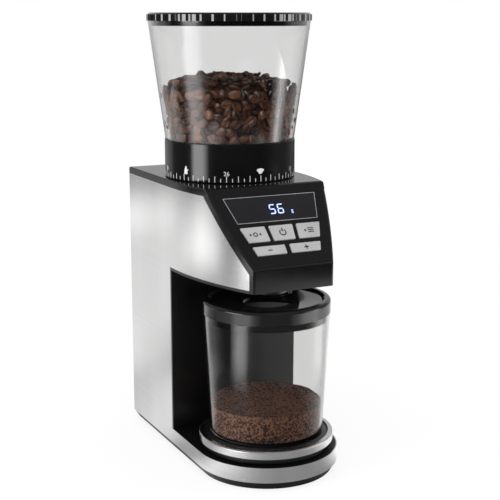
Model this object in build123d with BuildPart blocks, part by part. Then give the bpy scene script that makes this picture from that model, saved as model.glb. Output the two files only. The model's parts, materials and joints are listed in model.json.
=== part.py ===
from build123d import *
import os
from math import acos, atan2, cos, degrees, pi, radians, sin, sqrt, tan

# Plan of the body. The front faces -Y, and the origin is under the middle of the machine.
body_width = 123.5        # across the two steel sides
jar_y = -50.0             # axis of the jar, the weighing platform and the round base front
hopper_y = 22.0           # axis of the hopper, the dial ring and the burrs
back_y = 112.0            # flat back of the machine
column_y = 11.5           # front face of the column behind the jar
front_y = -100.0          # flat front face of the head
front_half = 36.2         # half width of that face
cheek_arc_r = 240.0       # plan radius of the head's curved cheeks

# Heights, each one standing on the one before
foot_drop = 0.8           # rubber feet below the base pan
pan_height = 6.6          # flared black foot
band_height = 13.1        # steel band round the base
bay_height = 146.5        # from the base deck up to the underside of the head
face_height = 19.6        # flat front face of the head
cheek_height = 73.0       # from the underside of the head to the seam of the top cover
cap_height = 6.0          # top cover
ring_height = 32.7        # dial ring
hopper_height = 101.0     # hopper above the dial ring
lid_height = 7.0          # hopper lid

# Sloping control panel
panel_angle = 48.7        # from the horizontal
edge_front = 4.5          # black cheek edge in front of the steel, at the flat face
edge_panel = 6.0          # the same, square to the sloping panel
edge_chamfer = 1.2
crease_r = 1.2            # groove between the flat face and the panel
panel_wall = 2.5
fascia_rim = 3.0

# Walls and sheets
sheet = 0.9               # steel side sheets and base band
column_wall = 2.5
floor_wall = 2.5          # head floor
back_wall = 2.5
pan_flare = 4.2           # inset of the pan's bottom edge
pan_lip = 0.4             # inset of the pan's top edge
pan_floor = 2.5
pan_wall = 2.5
deck_wall = 2.5
cap_wall = 2.5
cap_rim = 5.0
cap_bevel = 1.0

# Clearances
fit = 0.05                # pieces of one body set into each other
run = 0.05                # a shaft in its bush, on the radius
slip = 0.3                # pieces that slide or turn past each other
rest_gap = 0.2            # a lifted piece on its seat
cut_over = 1.0            # cutting forms run past the solid

# Rubber feet and base screws
foot_r = 8.0
foot_recess = 1.2
foot_x = 32.0
foot_front_y = -80.0
foot_back_y = 96.0
screw_r = 1.5
screw_head_r = 3.0
screw_head_h = 1.4
screw_grip = 8.0
base_screw_x = 42.0
base_screw_front_y = -22.0
base_screw_back_y = 88.0
boss_r = 4.5

# Weighing platform and load cell
rim_r = 58.0
rim_wall = 4.0
rim_height = 6.6
rim_round = 1.2
platform_rise = 5.8       # rim's lower edge above the deck
collar_r = 55.0
collar_wall = 2.5
collar_gap = 0.8          # collar above the deck
seat_r = 50.0
seat_above_rim = 0.3
tray_wall = 3.0
hub_r = 9.0
cell_size = 12.0
cell_length = 68.0
cell_flex = 1.2           # free end above the pan
cell_foot = 16.0          # length of the fixed end
cell_hole_length = 22.6
cell_hole_width = 6.0
press_travel = 0.4
press_play = 0.1          # left between hub and load cell at full travel

# Jar and its lid
jar_foot_r = 48.8
jar_top_r = 54.4
jar_height = 105.4
jar_wall = 2.2
jar_floor = 3.0
jar_round = 2.5
jar_lid_overhang = 0.45   # jar lid past the jar's rim
jar_lid_height = 12.0
jar_lid_round = 3.0
jar_lid_rim = 5.0
jar_lid_wall = 2.5
jar_lid_dish = 5.0        # fall of the top towards the filling hole
jar_lid_hole_r = 20.0
jar_plug = 6.0

# Dial ring, hopper and hopper lid
ring_r = 57.35
ring_wall = 1.75
ring_round = 0.6
ring_seat_drop = 13.0     # hopper spigot inside the ring
ring_slope = 4.0
ring_throat_r = 44.0
hopper_inset = 0.65       # hopper's foot inside the ring's outer face
hopper_top_r = 70.5
hopper_wall = 2.0
throat_r = 40.0
throat_length = 5.5
lid_overhang = 1.0        # hopper lid past the hopper's rim
hopper_lid_crown = 1.4
hopper_plug = 4.0
flute_count = 48
flute_r = 6.0
flute_depth = 0.8

# Grinding chamber and burrs
chamber_r = 47.0
chamber_wall = 3.0
chamber_floor = 4.0
neck_rise = 12.0          # chamber neck above the top cover, inside the dial ring
leg_r = 5.0
leg_inset = 1.0           # legs inside the chamber's outer wall
leg_angles = (147.0, 225.0, 315.0)
outlet_half = 12.0
outlet_height = 15.0
bush_r = 9.0
shaft_r = 5.0
impeller_gap = 1.5
impeller_height = 6.0
vane_width = 4.0
vane_height = 4.0
impeller_hub_r = 12.0
burr_gap = 1.5
cone_r = 24.0
cone_top_r = 12.0
cone_height = 28.0
cone_flutes = 12
cone_flute_r = 7.2
cone_flute_rise = 9.3     # flutes start above the cone's foot
ring_burr_r = 33.0
ring_burr_height = 18.0
ring_burr_low_r = 24.9
ring_burr_top_r = 31.0
carrier_drop = 2.0        # carrier's top below the neck
key_width = 6.0
key_depth = 1.8
key_height = 20.0
key_rise = 12.0           # key above the carrier's lower edge
nut_r = 7.5
nut_height = 5.0

# Gear train, with involute teeth
gear_module = 1.0
pressure_angle = 20.0
addendum = 0.85
dedendum = 1.2
backlash = 0.25
pinion_teeth = 14
wheel_teeth = 42
small_teeth = 14
main_teeth = 56
motor_y = 72.0
pinion_width = 6.0
main_width = 7.0
gear_gap = 1.5
idler_pin_r = 3.0
idler_collar_r = 6.0
plate_wall = 3.0
plate_lift = 2.5          # gear plate above the head floor
plate_half = 46.0
plate_front_y = -16.0
plate_boss_x = 38.0
plate_boss_y = -6.0
ledge_height = 6.0
ledge_depth = 6.0
ledge_half = 8.0

# Motor
motor_r = 34.0
motor_length = 100.0
motor_wall = 2.0
motor_cap = 4.0
motor_shaft_r = 3.0
motor_bush_r = 6.0
armature_r = 26.0
armature_length = 60.0
armature_rise = 33.0      # armature and magnets above the motor's foot
armature_slots = 12
slot_depth = 6.5
slot_width = 3.0
commutator_r = 10.0
commutator_length = 12.0
commutator_rise = 8.0
magnet_wall = 4.0
magnet_gap = 32.0         # between the two magnets
motor_screw_r = 22.0

# Discharge chute with its round spout, and the little catch under the head's front edge
chute_half = 14.0
chute_wall = 2.0
chute_depth = 14.0        # half the chute's length along Y over the spout
spout_y = -55.0
spout_r = 20.0
spout_wall = 2.4
spout_round = 1.6
spout_lip = 3.0           # flange past the spout, on the head floor
spout_drop = 11.0         # spout below the head
catch_r = 1.6
catch_drop = 4.5

# Keys, display and boards
row_low = 12.4            # distances up the panel from the crease
row_low_top = 20.8
row_high = 25.0
row_high_top = 39.2
keys_half = 24.9          # half width of the key field, run down to the crease
keys_flare = 0.301        # growth of that half width up the panel
power_half_low = 9.7
power_half_top = 11.0
key_gap = 3.6
low_gap_half = 2.3        # half the gap between the minus and plus keys
key_proud = 1.0
key_corner = 0.8
key_round = 0.4
flange = 1.2
flange_wall = 1.0
key_travel = 1.0
window_gap = 3.8          # window above the upper row of keys
window_edge = 2.08        # window below the top cover's seam
window_half_low = 37.3
window_half_top = 43.4
window_wall = 1.0
digit_width = 36.0
digit_height = 16.0
board_depth = 9.0
board_wall = 1.6
board_low = 3.5
board_inset = 3.0         # board below the window's upper edge
board_half_low = 25.0
board_half_top = 36.0
post_r = 2.6
post_low_x = 20.0
post_top_x = 30.0
post_low_inset = 3.3      # posts inside the board's edges
post_top_inset = 4.0
switch_size = 6.0
switch_play = 0.2
pilot_r = 1.0
board_screw_head_r = 2.0
board_screw_head_h = 1.2
board_screw_grip = 4.0
power_board_half = 40.0
power_board_low = 24.0    # above the deck
power_board_height = 80.0
power_post = 4.0
power_post_r = 3.0
power_post_inset = 6.0
power_part_height = 8.0   # relays and capacitors off the board
relay_width = 10.0
relay_height = 26.0
relay_pitch = 20.0
capacitor_r = 5.0
capacitor_pitch = 20.0
capacitor_rise = 26.0     # above the middle of the board

# Back cover
vent_count = 9
vent_pitch = 7.0
vent_width = 3.0
vent_height = 44.0
vent_rise = 92.0          # middle of the vents above the deck
gland_x = 34.0
gland_rise = 14.0
gland_r = 8.0
gland_flange_r = 11.0
gland_bore_r = 3.6
gland_depth = 8.0

# Levels worked out from the heights
z_pan = foot_drop
z_band = z_pan + pan_height
z_deck = z_band + band_height
z_head = z_deck + bay_height
z_crease = z_head + face_height
z_seam = z_head + cheek_height
z_top = z_seam + cap_height
z_ring = z_top + slip
z_ring_top = z_ring + ring_height
z_hopper_top = z_ring_top + hopper_height
z_lid_top = z_hopper_top + lid_height
z_pan_floor = z_pan + pan_floor
z_deck_low = z_deck - deck_wall
z_cell = z_pan_floor + cell_flex
z_cell_top = z_cell + cell_size
z_rim = z_deck + platform_rise
z_rim_top = z_rim + rim_height
z_seat = z_rim_top + seat_above_rim
z_jar = z_seat + rest_gap
z_jar_top = z_jar + jar_height
z_jar_lid = z_jar_top + rest_gap
z_jar_lid_top = z_jar_lid + jar_lid_height
z_plate = z_head + floor_wall + plate_lift
z_plate_top = z_plate + plate_wall
z_wheel = z_plate_top + gear_gap
z_main = z_wheel + pinion_width + gear_gap
z_chamber = z_main + main_width + gear_gap
z_chamber_floor = z_chamber + chamber_floor
z_impeller = z_chamber_floor + impeller_gap
z_cone = z_impeller + impeller_height
z_cone_top = z_cone + cone_height
z_ring_burr = z_cone + burr_gap
z_ring_burr_top = z_ring_burr + ring_burr_height
z_neck = z_top + neck_rise
z_carrier_top = z_neck - carrier_drop
z_motor = z_plate - motor_length
half_width = body_width / 2
jar_lid_r = jar_top_r + jar_lid_overhang
hopper_foot_r = ring_r - hopper_inset
hopper_lid_r = hopper_top_r + lid_overhang
chamber_bore_r = chamber_r - chamber_wall
leg_circle_r = chamber_r - leg_r - leg_inset

# Frame of the sloping panel: local Y runs up the slope and Z stands out of it
slope_c = cos(radians(panel_angle))
slope_s = sin(radians(panel_angle))
panel = Plane((0, front_y, z_crease), x_dir=(1, 0, 0), z_dir=(0, -slope_s, slope_c))
panel_run = (z_seam - z_crease) / slope_s
window_low = row_high_top + window_gap
window_top = panel_run - window_edge
digit_s = (window_low + window_top) / 2
board_top = window_top - board_inset

# Gear axes: the idler stands where both meshes close
mesh_main = gear_module * (main_teeth + small_teeth) / 2
mesh_motor = gear_module * (pinion_teeth + wheel_teeth) / 2
axis_span = motor_y - hopper_y
idler_along = (mesh_main**2 - mesh_motor**2 + axis_span**2) / (2 * axis_span)
idler_x = sqrt(mesh_main**2 - idler_along**2)
idler_y = hopper_y + idler_along
to_main = degrees(atan2(hopper_y - idler_y, -idler_x))
to_motor = degrees(atan2(motor_y - idler_y, -idler_x))

os.makedirs("parts", exist_ok=True)


def base_outline(inset, back):
    """Round front about the jar axis, straight sides and a flat back."""
    r = half_width - inset
    with BuildSketch() as outline:
        with BuildLine():
            Polyline((r, jar_y), (r, back), (-r, back), (-r, jar_y))
            ThreePointArc((-r, jar_y), (0, jar_y - r), (r, jar_y))
        make_face()
    return outline.sketch


def cheek_x(inset, y):
    """Half width of the head at a place along Y, from the straight sides to the curved cheeks."""
    arc_start = front_y + sqrt(cheek_arc_r**2 - (cheek_arc_r - half_width + front_half) ** 2)
    reach = sqrt((cheek_arc_r - inset) ** 2 - min(y - arc_start, 0) ** 2)
    return half_width - cheek_arc_r + reach, arc_start


def head_outline(inset, front, back):
    """Plan of the head: flat front, curved cheeks, straight sides, flat back."""
    front_x, arc_start = cheek_x(inset, front)
    middle = (front + arc_start) / 2
    middle_x = cheek_x(inset, middle)[0]
    r = half_width - inset
    with BuildSketch() as outline:
        with BuildLine():
            Line((-front_x, front), (front_x, front))
            ThreePointArc((front_x, front), (middle_x, middle), (r, arc_start))
            Polyline((r, arc_start), (r, back), (-r, back), (-r, arc_start))
            ThreePointArc((-r, arc_start), (-middle_x, middle), (-front_x, front))
        make_face()
    return outline.sketch


def panel_y(depth, z):
    """Y of the plane that lies this deep under the panel, at a height."""
    return front_y + depth * slope_s + (z - z_crease + depth * slope_c) / tan(radians(panel_angle))


def panel_z(depth, y):
    """Height of that plane at a place along Y."""
    return z_crease - depth * slope_c + (y - front_y - depth * slope_s) * tan(radians(panel_angle))


def head_block(inset, front_off, panel_off, low, high, back=back_y):
    """The head's outer form moved inwards, between two heights."""
    front = front_y + front_off
    with BuildPart() as block:
        with BuildSketch(Plane.XY.offset(low)):
            add(head_outline(inset, front, back))
        extrude(amount=high - low)
        with BuildSketch(Plane.YZ):
            with BuildLine():
                Polyline(
                    (front, z_head - 2 * cut_over),
                    (front, panel_z(panel_off, front)),
                    (panel_y(panel_off, high + cut_over), high + cut_over),
                    (back + cut_over, high + cut_over),
                    (back + cut_over, z_head - 2 * cut_over),
                    close=True,
                )
            make_face()
        extrude(amount=body_width, both=True, mode=Mode.INTERSECT)
    return block.part


def turned(points, axis_y, axis_x=0):
    """A solid turned about an upright axis from its half section."""
    with BuildPart() as solid:
        with BuildSketch(Plane((axis_x, axis_y, 0), x_dir=(1, 0, 0), z_dir=(0, -1, 0))):
            with BuildLine():
                Polyline(*points, close=True)
            make_face()
        revolve(axis=Axis((axis_x, axis_y, 0), (0, 0, 1)))
    return solid.part


def gear_outline(teeth, tooth_angle):
    """Involute spur gear with a tooth centred at the given angle."""
    pitch_r = gear_module * teeth / 2
    base_r = pitch_r * cos(radians(pressure_angle))
    root_r = pitch_r - dedendum * gear_module
    tip_r = pitch_r + addendum * gear_module
    flank_r = max(base_r, root_r)
    half_pitch = pi / 2 / teeth - backlash / 2 / pitch_r
    start = half_pitch + tan(radians(pressure_angle)) - radians(pressure_angle)
    points = []
    for tooth in range(teeth):
        centre = radians(tooth_angle) + 2 * pi * tooth / teeth
        flank = [(root_r, start)]
        for step in range(4):
            r = flank_r + (tip_r - flank_r) * step / 3
            roll = acos(min(base_r / r, 1))
            flank.append((r, start - tan(roll) + roll))
        for r, half in flank:
            points.append((r * cos(centre - half), r * sin(centre - half)))
        for r, half in reversed(flank):
            points.append((r * cos(centre + half), r * sin(centre + half)))
    with BuildSketch() as outline:
        with BuildLine():
            Polyline(*points, close=True)
        make_face()
    return outline.sketch


def key_outline(corners, grow, corner_r):
    """Four-sided key with rounded corners, on the panel."""
    low_a, low_b, top_a, top_b, s_low, s_top = corners
    with BuildSketch() as outline:
        with BuildLine():
            Polyline(
                (low_a - grow, s_low - grow),
                (low_b + grow, s_low - grow),
                (top_b + grow, s_top + grow),
                (top_a - grow, s_top + grow),
                close=True,
            )
        make_face()
        fillet(outline.vertices(), corner_r)
    return outline.sketch


def screws(plane, points, head_r, head_h, shank_r, length):
    """Screws with their heads under the plane and their shanks along its normal."""
    with BuildPart() as group:
        with BuildSketch(plane.offset(-head_h)):
            with Locations(*points):
                Circle(head_r)
        extrude(amount=head_h)
        with BuildSketch(plane):
            with Locations(*points):
                Circle(shank_r)
        extrude(amount=length)
    return group.part


# Keys on the panel: low left, low right, top left, top right, foot, head
def field(s):
    """Half width of the key field at a distance up the panel."""
    return keys_half + keys_flare * s


keys = {
    "left_button": (
        -field(row_high),
        -power_half_low - key_gap,
        -field(row_high_top),
        -power_half_top - key_gap,
        row_high,
        row_high_top,
    ),
    "power_button": (
        -power_half_low,
        power_half_low,
        -power_half_top,
        power_half_top,
        row_high,
        row_high_top,
    ),
    "right_button": (
        power_half_low + key_gap,
        field(row_high),
        power_half_top + key_gap,
        field(row_high_top),
        row_high,
        row_high_top,
    ),
    "minus_button": (
        -field(row_low),
        -low_gap_half,
        -field(row_low_top),
        -low_gap_half,
        row_low,
        row_low_top,
    ),
    "plus_button": (
        low_gap_half,
        field(row_low),
        low_gap_half,
        field(row_low_top),
        row_low,
        row_low_top,
    ),
}
window = (
    -window_half_low,
    window_half_low,
    -window_half_top,
    window_half_top,
    window_low,
    window_top,
)
posts = [
    (side * x, s)
    for x, s in ((post_low_x, board_low + post_low_inset), (post_top_x, board_top - post_top_inset))
    for side in (-1, 1)
]

# Base pan: flared foot, upstand inside the steel band, pad for the load cell
feet = [(side * foot_x, y) for y in (foot_front_y, foot_back_y) for side in (-1, 1)]
base_screw_points = [
    (side * base_screw_x, y) for y in (base_screw_front_y, base_screw_back_y) for side in (-1, 1)
]
upstand = sheet + fit
cavity = pan_flare + pan_wall
inner_back = back_y - back_wall - fit
cell_back = jar_y - cell_size / 2 + cell_length
with BuildPart() as base_pan:
    with BuildSketch(Plane.XY.offset(z_pan)):
        add(base_outline(pan_flare, back_y - pan_flare))
    with BuildSketch(Plane.XY.offset(z_band)):
        add(base_outline(pan_lip, back_y - pan_lip))
    loft(ruled=True)
    with BuildSketch(Plane.XY.offset(z_band)):
        add(base_outline(upstand, inner_back))
    extrude(amount=z_deck_low - z_band)
    with BuildSketch(Plane.XY.offset(z_pan_floor)):
        add(base_outline(cavity, back_y - cavity))
    extrude(amount=z_deck_low - z_pan_floor, mode=Mode.SUBTRACT)
    with BuildSketch(Plane.XY.offset(z_pan_floor)):
        with Locations((0, cell_back - cell_foot / 2)):
            Rectangle(cell_size, cell_foot)
    extrude(amount=cell_flex)
    with BuildSketch(Plane.XY.offset(z_pan)):
        with Locations(*feet):
            Circle(foot_r + fit)
    extrude(amount=foot_recess, mode=Mode.SUBTRACT)
    with BuildSketch(Plane.XY.offset(z_pan)):
        with Locations(*base_screw_points):
            Circle(screw_head_r + fit)
    extrude(amount=screw_head_h, mode=Mode.SUBTRACT)
    with BuildSketch(Plane.XY.offset(z_pan)):
        with Locations(*base_screw_points):
            Circle(screw_r + fit)
    extrude(amount=pan_floor, mode=Mode.SUBTRACT)
base_pan.part.label = "base_pan"
export_step(base_pan.part, "parts/base_pan.step")

# Rubber feet in their recesses
with BuildPart() as rubber_feet:
    with BuildSketch():
        with Locations(*feet):
            Circle(foot_r)
    extrude(amount=foot_drop + foot_recess)
    fillet(rubber_feet.edges().group_by(Axis.Z)[0], foot_drop / 2)
rubber_feet.part.label = "rubber_feet"
export_step(rubber_feet.part, "parts/rubber_feet.step")

# Steel band round the base, up to the column
steel_y = column_y + column_wall
with BuildPart() as base_band:
    with BuildSketch(Plane.XY.offset(z_band)):
        add(base_outline(0, steel_y))
        add(base_outline(sheet, steel_y + column_wall), mode=Mode.SUBTRACT)
    extrude(amount=band_height)
base_band.part.label = "base_band"
export_step(base_band.part, "parts/base_band.step")

# Black deck inside the band, with screw bosses down to the pan
with BuildPart() as base_deck:
    with BuildSketch(Plane.XY.offset(z_deck_low)):
        add(base_outline(sheet + fit, inner_back))
    extrude(amount=deck_wall)
    with BuildSketch(Plane.XY.offset(z_pan_floor)):
        with Locations(*base_screw_points):
            Circle(boss_r)
    extrude(amount=z_deck_low - z_pan_floor)
    with BuildSketch(Plane.XY.offset(z_pan_floor)):
        with Locations(*base_screw_points):
            Circle(screw_r + fit)
    extrude(amount=screw_grip, mode=Mode.SUBTRACT)
    with BuildSketch(Plane.XY.offset(z_deck_low)):
        with Locations((0, jar_y)):
            Circle(hub_r + slip)
    extrude(amount=deck_wall, mode=Mode.SUBTRACT)
base_deck.part.label = "base_deck"
export_step(base_deck.part, "parts/base_deck.step")

# Screws from below through the pan into the deck
base_screw_length = pan_floor - screw_head_h + screw_grip - fit
base_screws = screws(
    Plane.XY.offset(z_pan + screw_head_h),
    base_screw_points,
    screw_head_r,
    screw_head_h,
    screw_r,
    base_screw_length,
)
base_screws.label = "base_screws"
export_step(base_screws, "parts/base_screws.step")

# Load cell: a bar on the pan's pad, with a bending hole
with BuildPart() as load_cell:
    with BuildSketch(Plane.XY.offset(z_cell)):
        with Locations((0, cell_back - cell_length / 2)):
            Rectangle(cell_size, cell_length)
    extrude(amount=cell_size)
    with BuildSketch(Plane.YZ.offset(-cell_size)):
        with Locations((cell_back - cell_length / 2, z_cell + cell_size / 2)):
            SlotOverall(cell_hole_length, cell_hole_width)
    extrude(amount=2 * cell_size, mode=Mode.SUBTRACT)
load_cell.part.label = "load_cell"
export_step(load_cell.part, "parts/load_cell.step")

# Weighing platform: black tray on a hub over the load cell
z_hub = z_cell_top + press_travel + press_play
tray_r = rim_r - rim_wall - fit
with BuildPart() as platform_tray:
    add(
        turned(
            [
                (0, z_hub),
                (hub_r, z_hub),
                (hub_r, z_seat - tray_wall),
                (collar_r - collar_wall, z_seat - tray_wall),
                (collar_r - collar_wall, z_deck + collar_gap),
                (collar_r, z_deck + collar_gap),
                (collar_r, z_rim),
                (tray_r, z_rim),
                (tray_r, z_rim_top - rim_round),
                (seat_r, z_seat),
                (0, z_seat),
            ],
            jar_y,
        )
    )
platform_tray.part.label = "platform_tray"
export_step(platform_tray.part, "parts/platform_tray.step")

# Steel rim round the tray
with BuildPart() as platform_rim:
    with BuildSketch(Plane((0, jar_y, z_rim))):
        Circle(rim_r)
        Circle(rim_r - rim_wall, mode=Mode.SUBTRACT)
    extrude(amount=rim_height)
    fillet(platform_rim.edges().group_by(Axis.Z)[-1].sort_by(SortBy.LENGTH)[-1], rim_round)
platform_rim.part.label = "platform_rim"
export_step(platform_rim.part, "parts/platform_rim.step")

# Clear jar for the ground coffee
jar_slope = (jar_top_r - jar_foot_r) / jar_height
jar_inner_foot = jar_foot_r + jar_slope * jar_floor - jar_wall
with BuildPart() as jar:
    add(
        turned(
            [
                (0, z_jar),
                (jar_foot_r, z_jar),
                (jar_top_r, z_jar_top),
                (jar_top_r - jar_wall, z_jar_top),
                (jar_inner_foot, z_jar + jar_floor),
                (0, z_jar + jar_floor),
            ],
            jar_y,
        )
    )
    fillet(jar.edges().group_by(Axis.Z)[0], jar_round)
jar.part.label = "jar"
export_step(jar.part, "parts/jar.step")

# Jar lid: rounded rim, dished top with the filling hole, plug into the jar
plug_r = jar_top_r - jar_wall - jar_slope * jar_plug - slip
rim_inner_r = jar_lid_r - jar_lid_rim
hole_z = z_jar_lid_top - jar_lid_dish
with BuildPart() as jar_lid:
    add(
        turned(
            [
                (jar_lid_hole_r, hole_z - jar_lid_wall),
                (plug_r - jar_lid_wall, z_jar_lid),
                (plug_r - jar_lid_wall, z_jar_lid - jar_plug),
                (plug_r, z_jar_lid - jar_plug),
                (plug_r, z_jar_lid),
                (jar_lid_r, z_jar_lid),
                (jar_lid_r, z_jar_lid_top),
                (rim_inner_r, z_jar_lid_top),
                (rim_inner_r - jar_lid_wall, z_jar_lid_top - jar_lid_wall),
                (jar_lid_hole_r, hole_z),
            ],
            jar_y,
        )
    )
    fillet(jar_lid.edges().group_by(Axis.Z)[-1].sort_by(SortBy.LENGTH)[-1], jar_lid_round)
jar_lid.part.label = "jar_lid"
export_step(jar_lid.part, "parts/jar_lid.step")

# Black front of the column, with posts for the power board
power_points = [
    (side * (power_board_half - power_post_inset), z_deck + power_board_low + z)
    for z in (power_post_inset, power_board_height - power_post_inset)
    for side in (-1, 1)
]
behind_column = Plane((0, steel_y, 0), x_dir=(-1, 0, 0), z_dir=(0, 1, 0))
with BuildPart() as column_front:
    with BuildSketch(Plane.XY.offset(z_deck)):
        with Locations((0, column_y + column_wall / 2)):
            Rectangle(body_width, column_wall)
    extrude(amount=bay_height)
    with BuildSketch(behind_column):
        with Locations(*power_points):
            Circle(power_post_r)
    extrude(amount=power_post)
    with BuildSketch(behind_column):
        with Locations(*power_points):
            Circle(pilot_r + fit)
    extrude(amount=power_post, mode=Mode.SUBTRACT)
column_front.part.label = "column_front"
export_step(column_front.part, "parts/column_front.step")

# Power board with its relays and capacitors
z_power = z_deck + power_board_low + power_board_height / 2
board_plane = behind_column.offset(power_post)
with BuildPart() as power_board:
    with BuildSketch(board_plane):
        with Locations((0, z_power)):
            Rectangle(2 * power_board_half, power_board_height)
        with Locations(*power_points):
            Circle(pilot_r + fit, mode=Mode.SUBTRACT)
    extrude(amount=board_wall)
    with BuildSketch(board_plane.offset(board_wall)):
        with Locations((0, z_power)):
            with GridLocations(relay_pitch, 0, 2, 1):
                Rectangle(relay_width, relay_height)
    extrude(amount=power_part_height)
    with BuildSketch(board_plane.offset(board_wall)):
        with Locations((0, z_power + capacitor_rise)):
            with GridLocations(capacitor_pitch, 0, 3, 1):
                Circle(capacitor_r)
    extrude(amount=power_part_height)
power_board.part.label = "power_board"
export_step(power_board.part, "parts/power_board.step")

# Screws of the power board
board_screw_plane = Plane(board_plane.offset(board_wall).origin, x_dir=(1, 0, 0), z_dir=(0, -1, 0))
power_screws = screws(
    board_screw_plane,
    [(-x, z) for x, z in power_points],
    board_screw_head_r,
    board_screw_head_h,
    pilot_r,
    board_screw_grip,
)
power_screws.label = "power_board_screws"
export_step(power_screws, "parts/power_board_screws.step")

# Steel side sheets: the column's side, the cheek of the head and its sloping front edge
steel_front = front_y + edge_front
z_floor_top = z_head + floor_wall
catch_y = steel_front + 2 * catch_r + slip
for side, name in ((-1, "left_side_panel"), (1, "right_side_panel")):
    with BuildPart() as side_panel:
        with BuildSketch(Plane.XY.offset(z_band)):
            add(head_outline(0, front_y, back_y))
            add(head_outline(sheet, front_y - sheet, back_y + sheet), mode=Mode.SUBTRACT)
        extrude(amount=z_seam - z_band)
        with BuildSketch(Plane.YZ):
            with BuildLine():
                Polyline(
                    (steel_y, z_band),
                    (back_y, z_band),
                    (back_y, z_seam),
                    (panel_y(edge_panel, z_seam), z_seam),
                    (steel_front, panel_z(edge_panel, steel_front)),
                    (steel_front, z_floor_top),
                    (steel_y, z_floor_top),
                    close=True,
                )
            make_face()
        extrude(amount=side * body_width, mode=Mode.INTERSECT)
    side_panel.part.label = name
    export_step(side_panel.part, f"parts/{name}.step")

# Floor of the head, with the chute hole and bosses under the gear plate
plate_bosses = [(side * plate_boss_x, plate_boss_y) for side in (-1, 1)]
with BuildPart() as head_floor:
    with BuildSketch(Plane.XY.offset(z_head)):
        add(head_outline(0, steel_front, steel_y))
        with Locations((0, spout_y)):
            Circle(spout_r + fit, mode=Mode.SUBTRACT)
        with Locations((0, catch_y)):
            Circle(catch_r + fit, mode=Mode.SUBTRACT)
    extrude(amount=floor_wall)
    with BuildSketch(Plane.XY.offset(z_floor_top)):
        with Locations(*plate_bosses):
            Circle(boss_r)
    extrude(amount=plate_lift)
    with BuildSketch(Plane.XY.offset(z_head)):
        with Locations(*plate_bosses):
            Circle(screw_r + fit)
    extrude(amount=floor_wall + plate_lift, mode=Mode.SUBTRACT)
head_floor.part.label = "head_floor"
export_step(head_floor.part, "parts/head_floor.step")

# Small catch pin under the front edge of the head
with BuildPart() as front_catch:
    with BuildSketch(Plane((0, catch_y, z_head - catch_drop))):
        Circle(catch_r)
    extrude(amount=catch_drop + floor_wall)
    with BuildSketch(Plane((0, catch_y, z_floor_top))):
        Circle(catch_r * 2)
    extrude(amount=catch_r)
    fillet(front_catch.edges().group_by(Axis.Z)[0], catch_r / 2)
front_catch.part.label = "front_catch"
export_step(front_catch.part, "parts/front_catch.step")

# Black fascia: flat face, crease, sloping panel, key holes and display opening
with BuildPart() as fascia:
    add(head_block(0, 0, 0, z_head, z_seam))
    cheek_edges = fascia.edges().filter_by(
        lambda edge: abs(edge.center().X) > front_half / 2
        and edge.center().Y < panel_y(0, z_seam)
        and z_head + fit < edge.center().Z < z_seam - fit
    )
    chamfer(cheek_edges, edge_chamfer)
    add(
        head_block(
            -edge_front, edge_front, edge_panel, z_head - cut_over, z_seam + cut_over
        ),
        mode=Mode.SUBTRACT,
    )
    with BuildSketch(Plane.YZ):
        with Locations((front_y, z_crease)):
            Circle(crease_r)
    extrude(amount=body_width, both=True, mode=Mode.SUBTRACT)
    add(
        head_block(
            fascia_rim, panel_wall, panel_wall, z_head + fascia_rim, z_seam - fascia_rim
        ),
        mode=Mode.SUBTRACT,
    )
    with BuildSketch(panel):
        for corners in keys.values():
            add(key_outline(corners, slip, key_corner + slip))
        with Locations((0, digit_s)):
            Rectangle(digit_width + 2 * fit, digit_height + 2 * fit)
    extrude(amount=-edge_panel, mode=Mode.SUBTRACT)
    with BuildSketch(panel):
        add(key_outline(window, fit, key_corner))
    extrude(amount=-window_wall, mode=Mode.SUBTRACT)
    with BuildSketch(panel.offset(-panel_wall)):
        with Locations(*posts):
            Circle(post_r)
    extrude(amount=panel_wall - board_depth)
    with BuildSketch(panel.offset(-board_depth)):
        with Locations(*posts):
            Circle(pilot_r + fit)
    extrude(amount=board_screw_grip, mode=Mode.SUBTRACT)
fascia.part.label = "fascia"
export_step(fascia.part, "parts/fascia.step")

# Dark display window flush in the panel
with BuildPart() as display_window:
    with BuildSketch(panel.offset(-window_wall)):
        add(key_outline(window, 0, key_corner))
    extrude(amount=window_wall)
display_window.part.label = "display_window"
export_step(display_window.part, "parts/display_window.step")

# Digit module between the window and the control board
with BuildPart() as display_module:
    with BuildSketch(panel.offset(-board_depth)):
        with Locations((0, digit_s)):
            Rectangle(digit_width, digit_height)
    extrude(amount=board_depth - window_wall - fit)
display_module.part.label = "display_module"
export_step(display_module.part, "parts/display_module.step")

# Control board behind the panel
with BuildPart() as control_board:
    with BuildSketch(panel.offset(-board_depth - board_wall)):
        with BuildLine():
            Polyline(
                (-board_half_low, board_low),
                (board_half_low, board_low),
                (board_half_top, board_top),
                (-board_half_top, board_top),
                close=True,
            )
        make_face()
        with Locations(*posts):
            Circle(pilot_r + fit, mode=Mode.SUBTRACT)
    extrude(amount=board_wall)
control_board.part.label = "control_board"
export_step(control_board.part, "parts/control_board.step")

# Screws of the control board
control_screws = screws(
    panel.offset(-board_depth - board_wall),
    posts,
    board_screw_head_r,
    board_screw_head_h,
    pilot_r,
    board_screw_grip,
)
control_screws.label = "control_board_screws"
export_step(control_screws, "parts/control_board_screws.step")

# Keys, each with a flange behind the panel
key_back = panel_wall + slip + flange_wall
key_centres = []
for name, corners in keys.items():
    low_a, low_b, top_a, top_b, s_low, s_top = corners
    key_centres.append(((low_a + low_b + top_a + top_b) / 4, (s_low + s_top) / 2))
    with BuildPart() as key:
        with BuildSketch(panel.offset(-key_back)):
            add(key_outline(corners, flange, key_corner))
        extrude(amount=flange_wall)
        with BuildSketch(panel.offset(-key_back)):
            add(key_outline(corners, 0, key_corner))
        extrude(amount=key_back + key_proud)
        fillet(key.faces().sort_by(Axis(panel.origin, panel.z_dir))[-1].edges(), key_round)
    key.part.label = name
    export_step(key.part, f"parts/{name}.step")

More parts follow.
